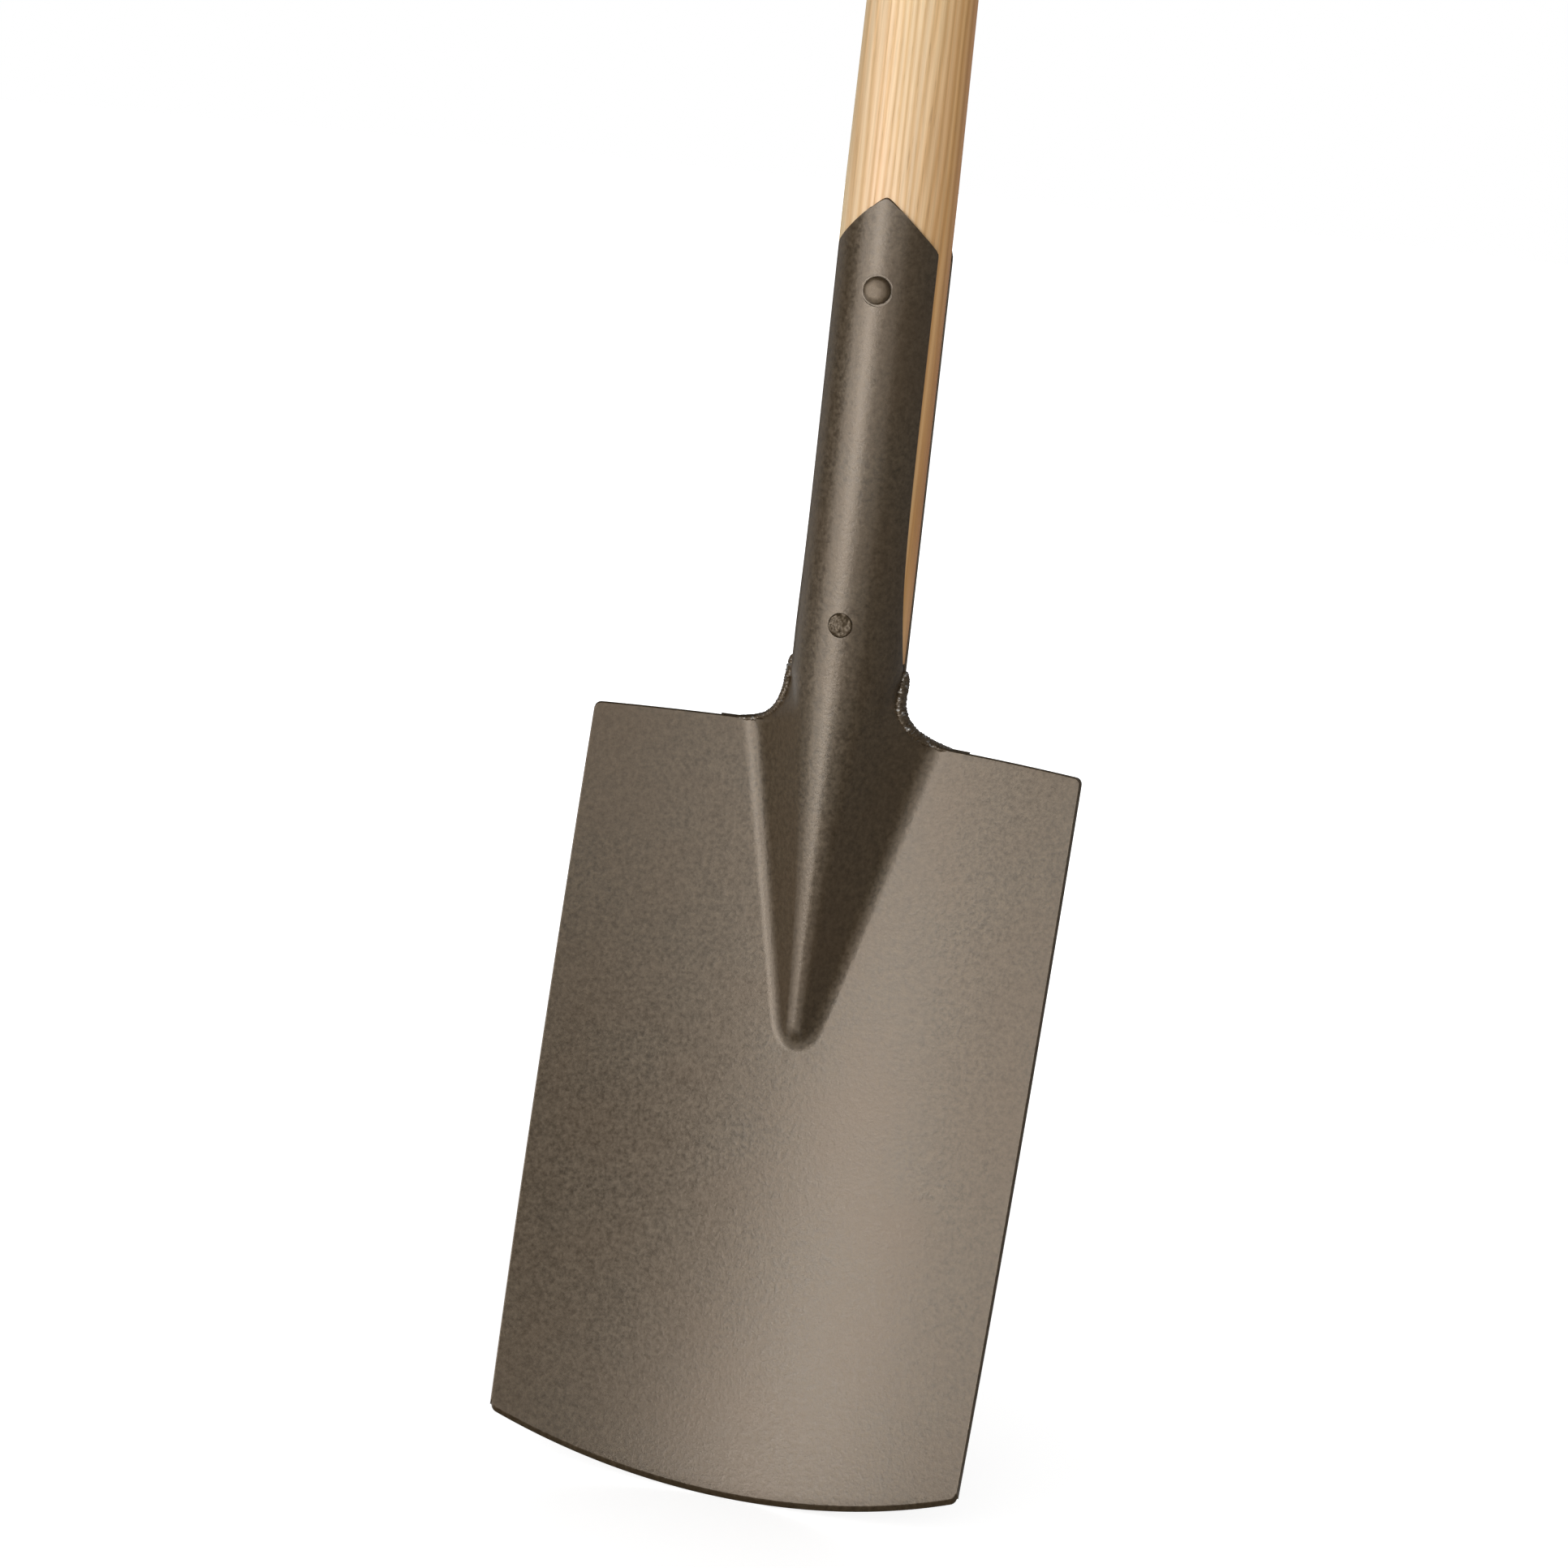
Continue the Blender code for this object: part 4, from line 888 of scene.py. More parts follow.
def flange_row(grids, row, s):
    """Outer columns of the tongue, which lie against the blade's back."""
    for k in range(1, FLANGE_COLUMNS + 1):
        inner = foot_half_width(s)
        x = mix(inner, inner + TONGUE_MARGIN, k / FLANGE_COLUMNS) * tongue_squeeze(s)
        height = shoulder_line(x) if s == NECK_FOOT else s
        for grid, depth in zip(grids, (LAP_DEPTH + SHEET, LAP_DEPTH)):
            pair(grid, row, len(BAND_STEPS) - 1 + k, *floor_point(x, s, depth), height)


def rear_sheet():
    """Rear strap with the tongue behind the blade, one sheet of metal."""
    depths = (0.0, -SHEET)
    grids, row = upper_sheet(REAR_STRAP, rear_section, depths)
    shoulder_row = row - 1
    flange_row(grids, shoulder_row, NECK_FOOT)
    heights = list(steps_after(NECK_FOOT, TONGUE_TIP + TONGUE_TIP_ROUNDING, TONGUE_ROWS))
    heights += [TONGUE_TIP + TONGUE_TIP_ROUNDING * t * t
                for t in [*np.linspace(1, TONGUE_LAST_STEP, TONGUE_TIP_ROWS)[1:], 0.0]]
    for s in heights:
        squeeze = tongue_squeeze(s)
        band_row(grids, row, [(x * squeeze, y) for x, y in rear_section(s)], depths, s)
        flange_row(grids, row, s)
        row += 1
    return sheet_mesh("rear_sheet", *grids, sheet_cells(row, shoulder_row, FLANGE_COLUMNS))


# Shaft


def socket_oval(s):
    """Middle, half width and half depth of the shaft's oval section inside the socket."""
    s = min(s, NECK_JOIN)
    play = SHEET + SOCKET_PLAY
    front, back = crest_line(s) + play, back_line(s) - play
    middle, half_depth = (front + back) / 2, (back - front) / 2
    half = POCKET_RADIUS - SOCKET_PLAY
    steps = np.linspace(0, 1, SECTION_POINTS)[1:-1]
    for section, depth in ((ridge_section(s), play), (rear_section(s), -play)):
        for x, y, across_x, across_y in spread(section, steps):
            rise = (y + across_y * depth - middle) / half_depth
            if abs(rise) < 1:
                half = min(half, (x + across_x * depth) / sqrt(1 - rise * rise))
    return middle, half, half_depth


def oval_ring(s, middle, half, half_depth):
    """Ring of points round the shaft."""
    turns = [2 * pi * k / ROUND_SEGMENTS for k in range(ROUND_SEGMENTS)]
    return [(half * sin(t), middle - half_depth * cos(t), s) for t in turns]


def shaft_radius(s):
    """Radius of the shaft above its socket."""
    full, waist, neck = SHAFT_DIAMETER / 2, SHAFT_WAIST_DIAMETER / 2, SHAFT_TOP_DIAMETER / 2
    share = clamp((s - FRONT_STRAP_REACH) / SHAFT_TAPER)
    top_share = clamp((s - SHAFT_REACH + SHAFT_TOP_TAPER) / SHAFT_TOP_TAPER)
    return (mix(full, waist, 1 - (1 - share) ** SHAFT_TAPER_POWER)
            - (waist - neck) * top_share ** SHAFT_TOP_POWER)


def shaft_rings():
    """Rings of the shaft from its end in the socket up to its tenon's end."""
    rings, bottom = [], -SHAFT_SINK
    top = NECK_JOIN + SOCKET_MOUTH - SOCKET_STEP
    heights = [bottom + SHAFT_END_ROUNDING * t * t for t in np.linspace(0, 1, SHAFT_END_RINGS)]
    heights += list(steps_after(heights[-1], top, SOCKET_RINGS))
    for s in heights:
        middle, half, half_depth = socket_oval(s)
        squeeze = mix(SHAFT_END_BLUNTNESS, 1.0, rounding((s - bottom) / SHAFT_END_ROUNDING))
        rings.append(oval_ring(s, middle, half * squeeze, half_depth * squeeze))
    for s in (NECK_JOIN + SOCKET_MOUTH, *np.linspace(FRONT_STRAP_REACH, SHAFT_REACH, SHAFT_RINGS),
              SHAFT_REACH + 2 * GRIP_RADIUS + TENON_RISE):
        radius = shaft_radius(s)
        rings.append(oval_ring(s, 0.0, radius, radius))
    return rings


def pocket(name, strap):
    """Cutter for the bed of a strap in the shaft."""
    grids = strap_grid(strap, STRAP_RADIUS + SHEET, POCKET_RADIUS, CLEARANCE)
    return sheet_mesh(name, *grids, sheet_cells(STRAP_ROWS, STRAP_ROWS, 0))


def tenon(name, play, top):
    """Round bar as thick as the tenon, or the hole for it."""
    radius = TENON_DIAMETER / 2 + play
    return turned_mesh(name, [(-GRIP_RADIUS, radius), (top, radius)], (0, 0, 0), (0, 0, 1),
                       ROUND_SEGMENTS, TOOL)


def cope():
    """Cutter that leaves the tenon and hollows the shaft's shoulder round the grip."""
    radius = GRIP_RADIUS + CLEARANCE
    count = ROUND_SEGMENTS // 2
    turns = [pi * (k / count - 0.5) for k in range(count + 1)]
    outline = [(radius * sin(t), GRIP_RADIUS - radius * cos(t)) for t in turns]
    outline += [(radius, CUTTER_REACH), (-radius, CUTTER_REACH)]
    rings = [[(x, y, z) for y, z in outline] for x in (-SHAFT_TOP_DIAMETER, SHAFT_TOP_DIAMETER)]
    body = loft_mesh("cope", rings, TOOL)
    core = tenon("tenon_core", 0.0, CORE_REACH)
    subtract(body, core)
    return body, core


# Rivets


def seat_profile():
    """Places along a rivet's hole and its radii, from the domed head to the hammered end."""
    shank = RIVET_DIAMETER / 2 + CLEARANCE
    head = RIVET_HEAD_DIAMETER / 2 + CLEARANCE + HEAD_GROOVE
    flush = RIVET_FLUSH_DIAMETER / 2 + CLEARANCE
    top = STRAP_RADIUS + 2 * RIVET_HEAD_RISE
    return [(top, head), (STRAP_RADIUS - HEAD_SEAT_DEPTH, head),
            (STRAP_RADIUS - HEAD_SEAT_DEPTH, shank), (FLUSH_CONE_DEPTH - STRAP_RADIUS, shank),
            (FLUSH_SEAT_DEPTH - STRAP_RADIUS, flush), (-top, flush)]


def rivet_profile():
    """Places along a rivet and its radii, from the domed head to the hammered end."""
    shank, head, flush = (
        size / 2 for size in (RIVET_DIAMETER, RIVET_HEAD_DIAMETER, RIVET_FLUSH_DIAMETER))
    base = STRAP_RADIUS - HEAD_SEAT_DEPTH + CLEARANCE
    points = []
    for k in range(DOME_RINGS):
        turn = pi / 2 * (1 - (k + DOME_START) / (DOME_RINGS - 1 + DOME_START))
        rise = (STRAP_RADIUS + RIVET_HEAD_RISE - base) * sin(turn) ** DOME_STEEPNESS
        points.append((base + rise, head * cos(turn) ** DOME_FLATNESS))
    points += [(base, shank), (FLUSH_CONE_DEPTH - STRAP_RADIUS - CLEARANCE, shank),
               (FLUSH_SEAT_DEPTH - STRAP_RADIUS - CLEARANCE, flush)]
    top = -STRAP_RADIUS - RIVET_FLUSH_RISE
    for share in steps_after(0, 1, HAMMERED_RINGS):
        points.append((mix(-STRAP_RADIUS + RIVET_FLUSH_RISE, top, rounding(share)),
                       flush * (1 - HAMMERED_SHARE * share)))
    return points


def rivet_mesh(name, height, facing, seed):
    """Rivet through both straps. Its head is a little uneven, its hammered end faceted."""
    rivet = turned_mesh(name, rivet_profile(), (0, 0, height), (0, -facing, 0), RIVET_SEGMENTS)
    offset = Vector((seed, 0, 0))
    for vert in rivet.data.vertices:
        along = -facing * vert.co.y
        if abs(along) < STRAP_RADIUS - SHEET:
            continue
        if along > 0:
            dent = HEAD_DENTS * noise.noise(vert.co * DENT_PITCH + offset)
        else:
            blow = noise.voronoi((vert.co + offset) * BLOW_PITCH)[0][0]
            scar = SCAR_SHARE * noise.noise(vert.co * SCAR_PITCH)
            dent = HAMMER_MARKS * (BLOW_LEVEL - blow + scar)
        vert.co.y += facing * dent
    return rivet


# Weld beads


def weld_path():
    """Places of a weld: distance out, height and way out of the metal."""
    straight = NECK_JOIN - WELD_START - NECK_FILLET
    curve = pi / 2 * NECK_FILLET
    path = []
    for place in np.linspace(0, straight + curve + WELD_SHOULDER_RUN, WELD_STEPS + 1):
        turn = clamp((place - straight) / NECK_FILLET, 0.0, pi / 2)
        out = NECK_CENTRE - NECK_FILLET * cos(turn) + max(place - straight - curve, 0)
        path.append((out, NECK_FILLET * (1 - sin(turn)) + max(straight - place, 0), turn))
    return path


def seam_middle(x, s):
    """Y of the middle of the seam between the two sheets."""
    if s <= NECK_FOOT:
        return floor_point(x, 0.0, SHEET + LAP_GAP / 2)[1]
    height = min(s, NECK_FILLET - SEAM_MARGIN)
    middle = (neck_section(height)[-1][1] + rear_edge(height)[1]) / 2
    return middle * (1 - clamp((s - height) / (NECK_JOIN - height)))


def weld_ring(side, share, x, s, turn):
    """Points round a bead's section, an ellipse over the seam with a rippled outer side."""
    place = Vector((side * WELD_SIDE_SHIFT, share * WELD_NOISE_LENGTH, 0))

    def wave(key, shift=(0, 0, 0)):
        pitch, size = WELD_NOISES[key]
        return size * noise.noise(place * pitch + Vector(shift))

    ends = rounding(share * WELD_TOP_RISE) * rounding((1 - share) * WELD_FOOT_RISE)
    fade = mix(WELD_END_SHARE, 1.0, ends)
    half = mix(WELD_HALF_WIDTH_TOP, WELD_HALF_WIDTH_SHOULDER, share) * (1 + wave("width"))
    height = mix(WELD_HEIGHT_TOP, WELD_HEIGHT_SHOULDER, share) * fade
    height += max(side, 0) * WELD_RIGHT_SWELL * sin(pi * share)
    middle = seam_middle(x, s) + wave("wander", WELD_WANDER_SHIFT)
    ripples = share * WELD_RIPPLES + wave("drift")
    ring = []
    for n in range(WELD_SEGMENTS):
        angle = 2 * pi * n / WELD_SEGMENTS
        across, out = cos(angle), sin(angle)
        ripple = abs(sin(pi * ripples - WELD_RIPPLE_BOW * out))
        rough = wave("rough", (across * WELD_ROUND_PITCH, out * WELD_ROUND_PITCH, 0))
        swell = 1 + WELD_RIPPLE * (ripple - 0.5) + rough
        reach = out * swell * (height if out > 0 else WELD_WRAP * fade)
        ring.append((side * (x + reach * cos(turn)),
                     middle - half * fade * across * mix(1.0, swell, WELD_SIDE_SWELL),
                     s + reach * sin(turn)))
    return ring


def weld_mesh(name, side):
    """Weld bead on one side of the neck: ripples like fish scales, of uneven height."""
    return loft_mesh(name, [weld_ring(side, k / WELD_STEPS, *place)
                            for k, place in enumerate(weld_path())])


# Grip


def grip_profile():
    """Places along the grip and its radii."""
    half, plain = GRIP_LENGTH / 2, GRIP_PLAIN_LENGTH / 2
    end = GRIP_END_DIAMETER / 2
    shape = [(x, GRIP_RADIUS) for x in steps_after(0, plain, GRIP_PLAIN_RINGS)]
    for share in steps_after(0, 1, GRIP_TAPER_RINGS):
        shape.append((mix(plain, half - GRIP_END_ROUNDING, share),
                      mix(GRIP_RADIUS, end, share ** GRIP_TAPER_POWER)))
    for turn in steps_after(0, pi / 2, GRIP_END_RINGS):
        shape.append((half - GRIP_END_ROUNDING * (1 - sin(turn)),
                      end - GRIP_END_ROUNDING * (1 - cos(turn))))
    return [(-x, r) for x, r in reversed(shape)] + [(0.0, GRIP_RADIUS)] + shape


def wedge_mesh(name, play, rise):
    """Tapered wedge, thicker at its top, or the slot for it."""
    tip = 2 * GRIP_RADIUS - WEDGE_DEPTH
    rings = []
    for z in (tip - play, 2 * GRIP_RADIUS + rise):
        thickness = mix(WEDGE_TIP_THICKNESS, WEDGE_THICKNESS, (z - tip) / WEDGE_DEPTH)
        x, y = thickness / 2 + play, WEDGE_WIDTH / 2 + play
        rings.append([(-x, -y, z), (x, -y, z), (x, y, z), (-x, y, z)])
    return loft_mesh(name, rings, TOOL)


def pin_mesh(name, play, reach):
    """Cross pin, as long as the grip is thick there, or the hole for it."""
    radius = PIN_DIAMETER / 2 + play
    return turned_mesh(name, [(-reach, radius), (reach, radius)], (0, 0, PIN_HEIGHT),
                       (0, 1, 0), RIVET_SEGMENTS, TOOL)


# Materials


class Nodes:
    """Nodes of a material or of the world, added one after the other."""

    def __init__(self, owner):
        self.owner = owner
        owner.use_nodes = True
        self.tree = owner.node_tree

    def put(self, socket, value):
        """Links an output to a socket, or sets the socket's own value."""
        if isinstance(value, bpy.types.NodeSocket):
            self.tree.links.new(value, socket)
        else:
            socket.default_value = (*value, 1.0) if socket.type == "RGBA" else value

    def add(self, kind, inputs=(), **settings):
        """New node with its settings, and with pairs of an input's name or number and
        its value."""
        node = self.tree.nodes.new("ShaderNode" + kind)
        for name, value in settings.items():
            setattr(node, name, value)
        for name, value in dict(inputs).items():
            self.put(node.inputs[name], value)
        return node

    def math(self, operation, *values):
        """Result of a math node."""
        return self.add("Math", enumerate(values), operation=operation).outputs[0]

    def span(self, value, low, high, start=0.0, end=1.0):
        """Value mapped from one span to another, and held within it."""
        return self.add("MapRange", enumerate((value, start, end, low, high))).outputs[0]

    def place(self):
        """Object coordinates."""
        return self.add("TexCoord").outputs["Object"]

    def stretched(self, scale, turn, offset=(0, 0, 0)):
        """Object coordinates turned about Z and scaled."""
        return self.add("Mapping", {"Vector": self.place(), "Rotation": (0, 0, turn),
                                    "Scale": scale, "Location": offset},
                        vector_type="POINT").outputs[0]

    def noise(self, pitch, offset, detail, roughness, turn=0.0):
        """Noise between 0 and 1, with its pitch along each axis."""
        return self.add("TexNoise", {"Vector": self.stretched(pitch, turn, offset), "Scale": 1.0,
                                     "Detail": detail, "Roughness": roughness}).outputs["Fac"]

    def ramp(self, value, stops):
        """Colour ramp through pairs of a place and a colour."""
        node = self.add("ValToRGB", {0: value})
        elements = node.color_ramp.elements
        while len(elements) < len(stops):
            elements.new(1.0)
        for element, (place, colour) in zip(elements, stops):
            element.position = place
            element.color = (*colour, 1.0)
        return node.outputs[0]

    def blend(self, share, a, b, mode="MIX"):
        """Mix of two colours."""
        return self.add("Mix", zip(MIX_INPUTS, (share, a, b)), data_type="RGBA",
                        blend_type=mode).outputs[MIX_OUTPUT]

    def bump(self, height, distance, strength, normal=None):
        """Bump node over an optional earlier one."""
        inputs = {"Height": height, "Distance": distance, "Strength": strength}
        if normal is not None:
            inputs["Normal"] = normal
        return self.add("Bump", inputs).outputs[0]

    def finish(self, **values):
        """Material with the main shader's sockets set or linked."""
        for name, value in values.items():
            self.put(self.tree.nodes["Principled BSDF"].inputs[name.replace("_", " ")], value)
        return self.owner

    def dull(self, level, roughness=1.0):
        """Material of one plain grey, without gloss."""
        return self.finish(Base_Color=(level, level, level), Roughness=roughness,
                           Specular_IOR_Level=0.0)


def new_shader(name):
    """Nodes of a new material."""
    return Nodes(bpy.data.materials.new(name))


def paint(name, tint, roughness, specular, grain=1.0, bare=0.0):
    """Brownish satin paint on steel, finely mottled, with an optional share of bare metal."""
    shader = new_shader(name)

    def speck(key):
        pitch, *rest = PAINT_NOISES[key]
        return shader.noise((pitch, pitch, pitch), *rest)

    fine, blotch, broad = speck("fine"), speck("blotch"), speck("broad")
    shade = shader.math("ADD", shader.math("MULTIPLY", fine, FINE_SHARE),
                        shader.math("MULTIPLY", blotch, 1 - FINE_SHARE))
    contrast = MOTTLE_CONTRAST * grain
    tones = [tuple(c * level for c in tint) for level in (1 - contrast, 1 + contrast)]
    warm = tuple(c * change for c, change in zip(tint, WARMTH))
    colour = shader.blend(shader.span(broad, 0.0, WARM_SHARE, *WARM_SPAN),
                          shader.ramp(shade, list(zip(MOTTLE_SPAN, tones))), warm)
    smoother, rougher = (roughness + change * grain for change in MOTTLE_GLOSS)
    gloss = shader.span(shade, smoother, rougher, *MOTTLE_SPAN)
    sheen = shader.span(shade, specular * (1 - MOTTLE_SHEEN * grain), specular, *MOTTLE_SPAN)
    relief = shader.bump(fine, FINE_RELIEF * grain, PAINT_BUMP)
    relief = shader.bump(blotch, BLOTCH_RELIEF * grain, PAINT_BUMP, relief)
    metallic = PAINT_METALLIC
    if bare:
        share = shader.span(speck("flake"), 0.0, 1.0, *(edge - bare for edge in FLAKE_SPAN))
        colour = shader.blend(share, colour, BARE_STEEL)
        metallic = shader.span(share, metallic, 1.0)
    return shader.finish(Base_Color=colour, Roughness=gloss, Normal=relief,
                         Specular_IOR_Level=sheen, Metallic=metallic)


def ash(name, turn, along, limb_shade=False):
    """Ash wood: growth rings as lines along the grain, fine fibres, open pores. The wood may have
    painted shade round its axis: darker on the left, darker and browner towards its right side."""
    shader = new_shader(name)

    def grainy(key):
        across, lengthwise, *rest = ASH_NOISES[key]
        pitch = [across] * 3
        pitch[along] = lengthwise
        return shader.noise(pitch, *rest, turn)

    def tinted(colour, value, stops):
        return shader.blend(1.0, colour, shader.ramp(value, stops), "MULTIPLY")

    split = shader.add("SeparateXYZ", {0: shader.stretched((1, 1, 1), turn)}).outputs
    ring = shader.math("MULTIPLY", split[1 if along == 0 else 0], 2 * pi / RING_WIDTH)
    for key, size in (("sway", RING_SWAY), ("drift", RING_DRIFT)):
        ring = shader.math("ADD", ring, shader.math("MULTIPLY", grainy(key), size))
    ring = shader.span(shader.math("SINE", ring), 0.0, 1.0, -1.0, 1.0)
    fibre, streak = grainy("fibre"), grainy("streak")
    pores = shader.span(grainy("pores"), 0.0, 1.0, *PORE_SPAN)
    colour = shader.ramp(ring, RING_STOPS)
    if limb_shade:
        # Painted shade, by the angle round the axis from the turned front
        behind = shader.math("MULTIPLY", split[1], -1.0)
        angle = shader.math("ADD", shader.math("ARCTAN2", split[0], behind),
                            shader.math("MULTIPLY", streak, SHADE_EDGE_WANDER))
        middle = SHADE_EDGE_WANDER / 2
        angle = shader.span(angle, 0.0, 1.0, middle - pi, middle + pi)
        colour = tinted(colour, angle, LIMB_SHADE_STOPS)
    for value, stops in ((streak, STREAK_STOPS), (grainy("cloud"), CLOUD_STOPS),
                         (fibre, FIBRE_STOPS)):
        colour = tinted(colour, value, stops)
    dark_ring = shader.span(ring, *PORE_RING_SHARES, *PORE_RING_SPAN)
    share = shader.math("MULTIPLY", shader.math("MULTIPLY", pores, dark_ring), PORE_SHARE)
    colour = shader.blend(share, colour, PORE_COLOUR)
    height = shader.math("SUBTRACT", fibre, shader.math("MULTIPLY", pores, PORE_DEPTH))
    return shader.finish(Base_Color=colour, Roughness=shader.span(fibre, *WOOD_GLOSS),
                         Normal=shader.bump(height, WOOD_RELIEF, WOOD_BUMP),
                         Specular_IOR_Level=WOOD_SPECULAR)


# The tool


def make_head(metal, rivet_metal, weld_metal):
    """Both sheets, their rivets and their welds, and the cutters of the rivets' seats."""
    sheets = ((blade_sheet(), "blade_metal", "blade"), (rear_sheet(), "strap_metal", "rear_strap"))
    holes = []
    for node, height, facing, seed in RIVETS:
        name = node + "_body"
        holes.append(turned_mesh(name + "_seat", seat_profile(), (0, 0, height),
                                 (0, -facing, 0), RIVET_SEGMENTS))
        place_piece(rivet_mesh(name, height, facing, seed), rivet_metal, "rivet_metal", node)
    for sheet, slot, node in sheets:
        soften(sheet, EDGE_RADIUS)
        subtract(sheet, *holes)
        place_piece(sheet, metal, slot, node)
    for side, node in ((-1, "left_weld"), (1, "right_weld")):
        place_piece(weld_mesh(node + "_bead", side), weld_metal, "weld_metal", node)
    return holes


def make_wood(holes, shaft_wood, grip_wood, wedge_wood, pin_metal):
    """Shaft, grip bar, wedge and pin."""
    shaft = loft_mesh("shaft_body", shaft_rings())
    beds = [pocket("front_bed", FRONT_STRAP), pocket("rear_bed", REAR_STRAP)]
    shoulder, core = cope()
    slot = wedge_mesh("wedge_slot", CLEARANCE, GRIP_RADIUS)
    pin_hole = pin_mesh("pin_hole", CLEARANCE, 2 * GRIP_RADIUS)
    tenon_hole = tenon("tenon_hole", CLEARANCE, CUTTER_REACH)
    subtract(shaft, *beds, shoulder, slot, pin_hole, *holes)
    place_piece(shaft, shaft_wood, "shaft_wood", "shaft")
    bar = turned_mesh("grip_body", grip_profile(), (0, 0, GRIP_RADIUS), (1, 0, 0),
                      ROUND_SEGMENTS, TOOL)
    subtract(bar, tenon_hole, pin_hole)
    place_piece(bar, grip_wood, "grip_wood", "grip_bar")
    wedge = wedge_mesh("wedge_body", 0.0, TENON_RISE)
    soften(wedge, WEDGE_SOFTNESS, by_weight=False)
    place_piece(wedge, wedge_wood, "wedge_wood", "grip_wedge")
    reach = sqrt(GRIP_RADIUS ** 2 - (GRIP_RADIUS - PIN_HEIGHT) ** 2)
    pin = pin_mesh("pin_body", 0.0, reach)
    soften(pin, PIN_SOFTNESS, by_weight=False)
    place_piece(pin, pin_metal, "pin_metal", "grip_pin")
    for cutter in (*beds, shoulder, core, slot, pin_hole, tenon_hole, *holes):
        bpy.data.objects.remove(cutter)


# Stage


def direction(azimuth, elevation):
    """Unit vector towards a place round the tool. Azimuth 0 is the front, 90 the right."""
    a, e = radians(azimuth), radians(elevation)
    return Vector((sin(a) * cos(e), -cos(a) * cos(e), sin(e)))


def soft_box(name, azimuth, distance, width, low, high, radiance, in_gloss=True):
    """Upright area light that faces the shaft's axis, between two heights."""
    away = direction(azimuth, 0)
    light = bpy.data.lights.new(name, "AREA")
    light.shape = "RECTANGLE"
    light.size, light.size_y = width, high - low
    light.energy = pi * radiance * light.size * light.size_y
    lamp = bpy.data.objects.new(name, light)
    turned = away.to_track_quat("Z", "Y").to_matrix().to_4x4()
    centre = away * distance + Vector((0, 0, (low + high) / 2))
    lamp.matrix_world = Matrix.Translation(centre) @ turned
    lamp.visible_camera = False
    lamp.visible_glossy = in_gloss
    bpy.context.scene.collection.objects.link(lamp)


def stage_card(card, grey):
    """Makes a card plain grey, and seen in the metal's gloss only."""
    card.data.materials.append(new_shader(card.name + "_cloth").dull(grey))
    card.visible_camera = card.visible_diffuse = card.visible_shadow = False


def curved_card(name, start, end, distance, low, top, grey, apron=None):
    """Card on part of a circle, between two heights. Apron is the distance at which a level
    part starts, in front of its foot."""
    bm = bmesh.new()
    columns = []
    for azimuth in np.linspace(start, end, CARD_COLUMNS):
        away = direction(azimuth, 0)
        places = [away * distance + Vector((0, 0, z)) for z in (top, low)]
        if apron:
            places.append(away * apron + Vector((0, 0, low)))
        columns.append([bm.verts.new(place) for place in places])
    for left, right in zip(columns, columns[1:]):
        for a, b, c, d in zip(left, left[1:], right[1:], right):
            bm.faces.new((a, b, c, d))
    stage_card(finish_mesh(name, bm, TOOL), grey)


def seen_share(nodes):
    """1 for a ray from the camera, a mirror or glass, else 0."""
    path = nodes.add("LightPath").outputs
    seen = nodes.math("MAXIMUM", path["Is Camera Ray"], path["Is Glossy Ray"])
    return nodes.math("MAXIMUM", seen, path["Is Transmission Ray"])


def make_world(level):
    """White round the tool, and a plain weak light from everywhere."""
    world = bpy.data.worlds.new("studio")
    bpy.context.scene.world = world
    nodes = Nodes(world)
    background = nodes.tree.nodes["Background"].inputs
    nodes.put(background["Color"], WHITE)
    nodes.put(background["Strength"], nodes.span(seen_share(nodes), level, 1.0))


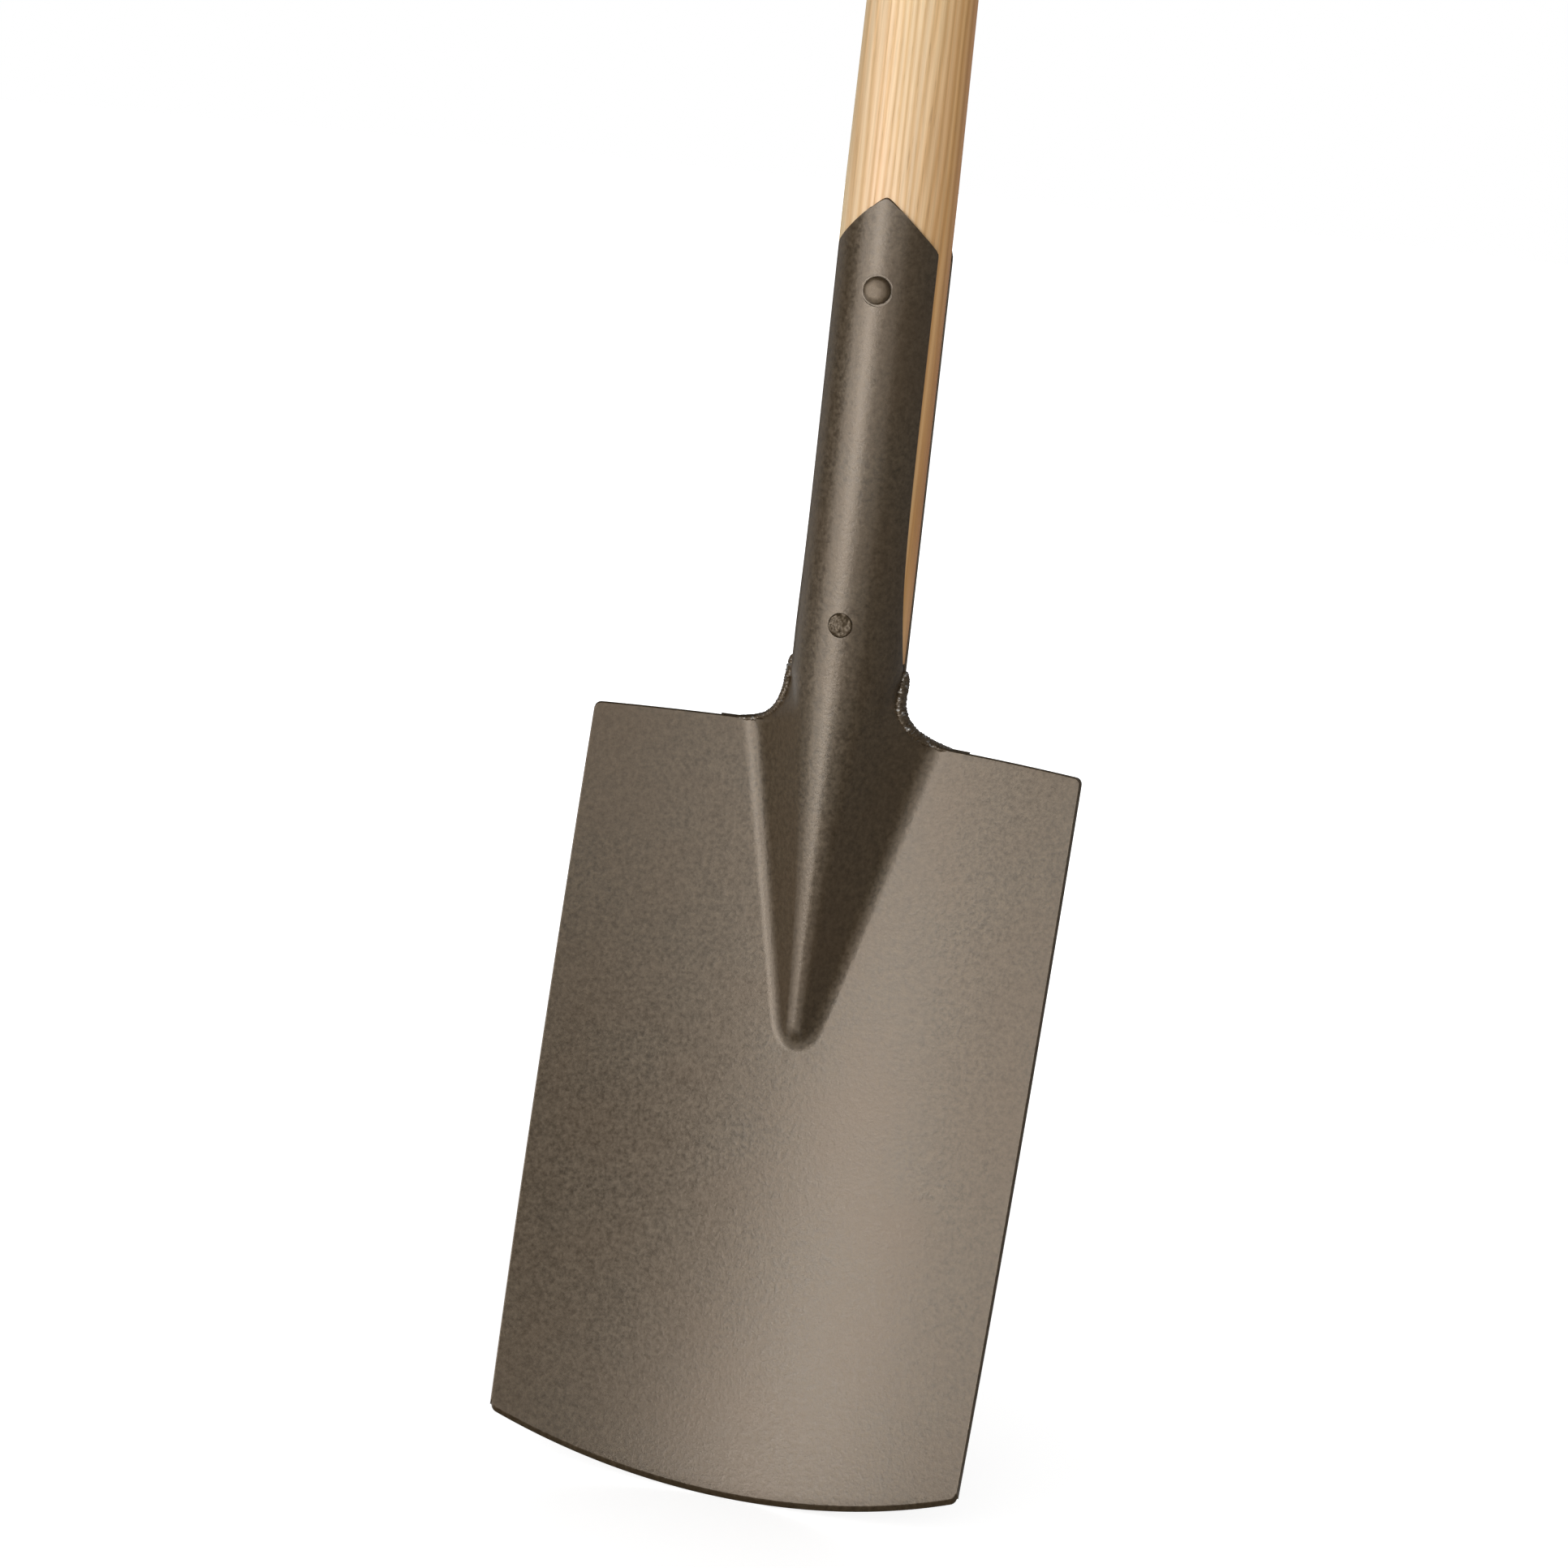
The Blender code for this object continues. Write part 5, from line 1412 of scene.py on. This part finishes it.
def make_floor(shine, albedo):
    """Plain white floor, which shows as white and keeps part of the shadow."""
    floor = disc_mesh("floor", FLOOR_RADIUS, FLOOR_SEGMENTS, (0, 0, FLOOR))
    shader = new_shader("floor_white")
    away = shader.add("VectorMath", {0: shader.place()}, operation="LENGTH").outputs["Value"]
    level = shader.math("MULTIPLY", seen_share(shader), shader.span(away, shine, 1.0, *SHINE_SPAN))
    glow = shader.add("Emission", {"Strength": level}).outputs[0]
    plain = shader.tree.nodes["Principled BSDF"].outputs[0]
    total = shader.add("AddShader", enumerate((plain, glow))).outputs[0]
    shader.put(shader.tree.nodes["Material Output"].inputs["Surface"], total)
    floor.data.materials.append(shader.dull(albedo, FLOOR_ROUGHNESS))


def make_camera():
    """Camera at the photograph's angle."""
    back = direction(CAMERA_AZIMUTH, CAMERA_ELEVATION)
    level = Vector((-back.y, back.x, 0)).normalized()
    upright = back.cross(level)
    right = level * cos(CAMERA_ROLL) + upright * sin(CAMERA_ROLL)
    up = upright * cos(CAMERA_ROLL) - level * sin(CAMERA_ROLL)
    camera = bpy.data.objects.new("camera", bpy.data.cameras.new("camera"))
    camera.data.sensor_width = SENSOR_WIDTH
    camera.data.lens = FOCAL_LENGTH
    camera.data.clip_start = CLIP_START
    turned = Matrix((right, up, back)).transposed().to_4x4()
    camera.matrix_world = Matrix.Translation(CAMERA_TARGET + back * CAMERA_DISTANCE) @ turned
    bpy.context.scene.collection.objects.link(camera)
    bpy.context.scene.camera = camera


seats = make_head(*(paint(name, *PAINTS[name])
                    for name in ("brown_paint", "rivet_paint", "weld_paint")))
# The shaft's turn lines its painted shade up with the camera's azimuth
make_wood(seats, ash("shaft_ash", -radians(CAMERA_AZIMUTH), Z_AXIS, limb_shade=True),
          ash("grip_ash", GRIP_GRAIN_TURN, X_AXIS), ash("wedge_ash", WEDGE_GRAIN_TURN, Z_AXIS),
          paint("pin_paint", *PAINTS["pin_paint"]))
make_camera()
for name, values in SOFT_BOXES.items():
    soft_box(name, *values)
for name, values in CURVED_CARDS.items():
    curved_card(name, *values)
for name, (radius, centre) in LEVEL_CARDS.items():
    stage_card(disc_mesh(name, radius, CARD_SEGMENTS, centre), DARK)
make_world(WORLD_LIGHT)
make_floor(FLOOR_SHINE, FLOOR_ALBEDO)
bpy.context.scene.view_settings.view_transform = "Standard"
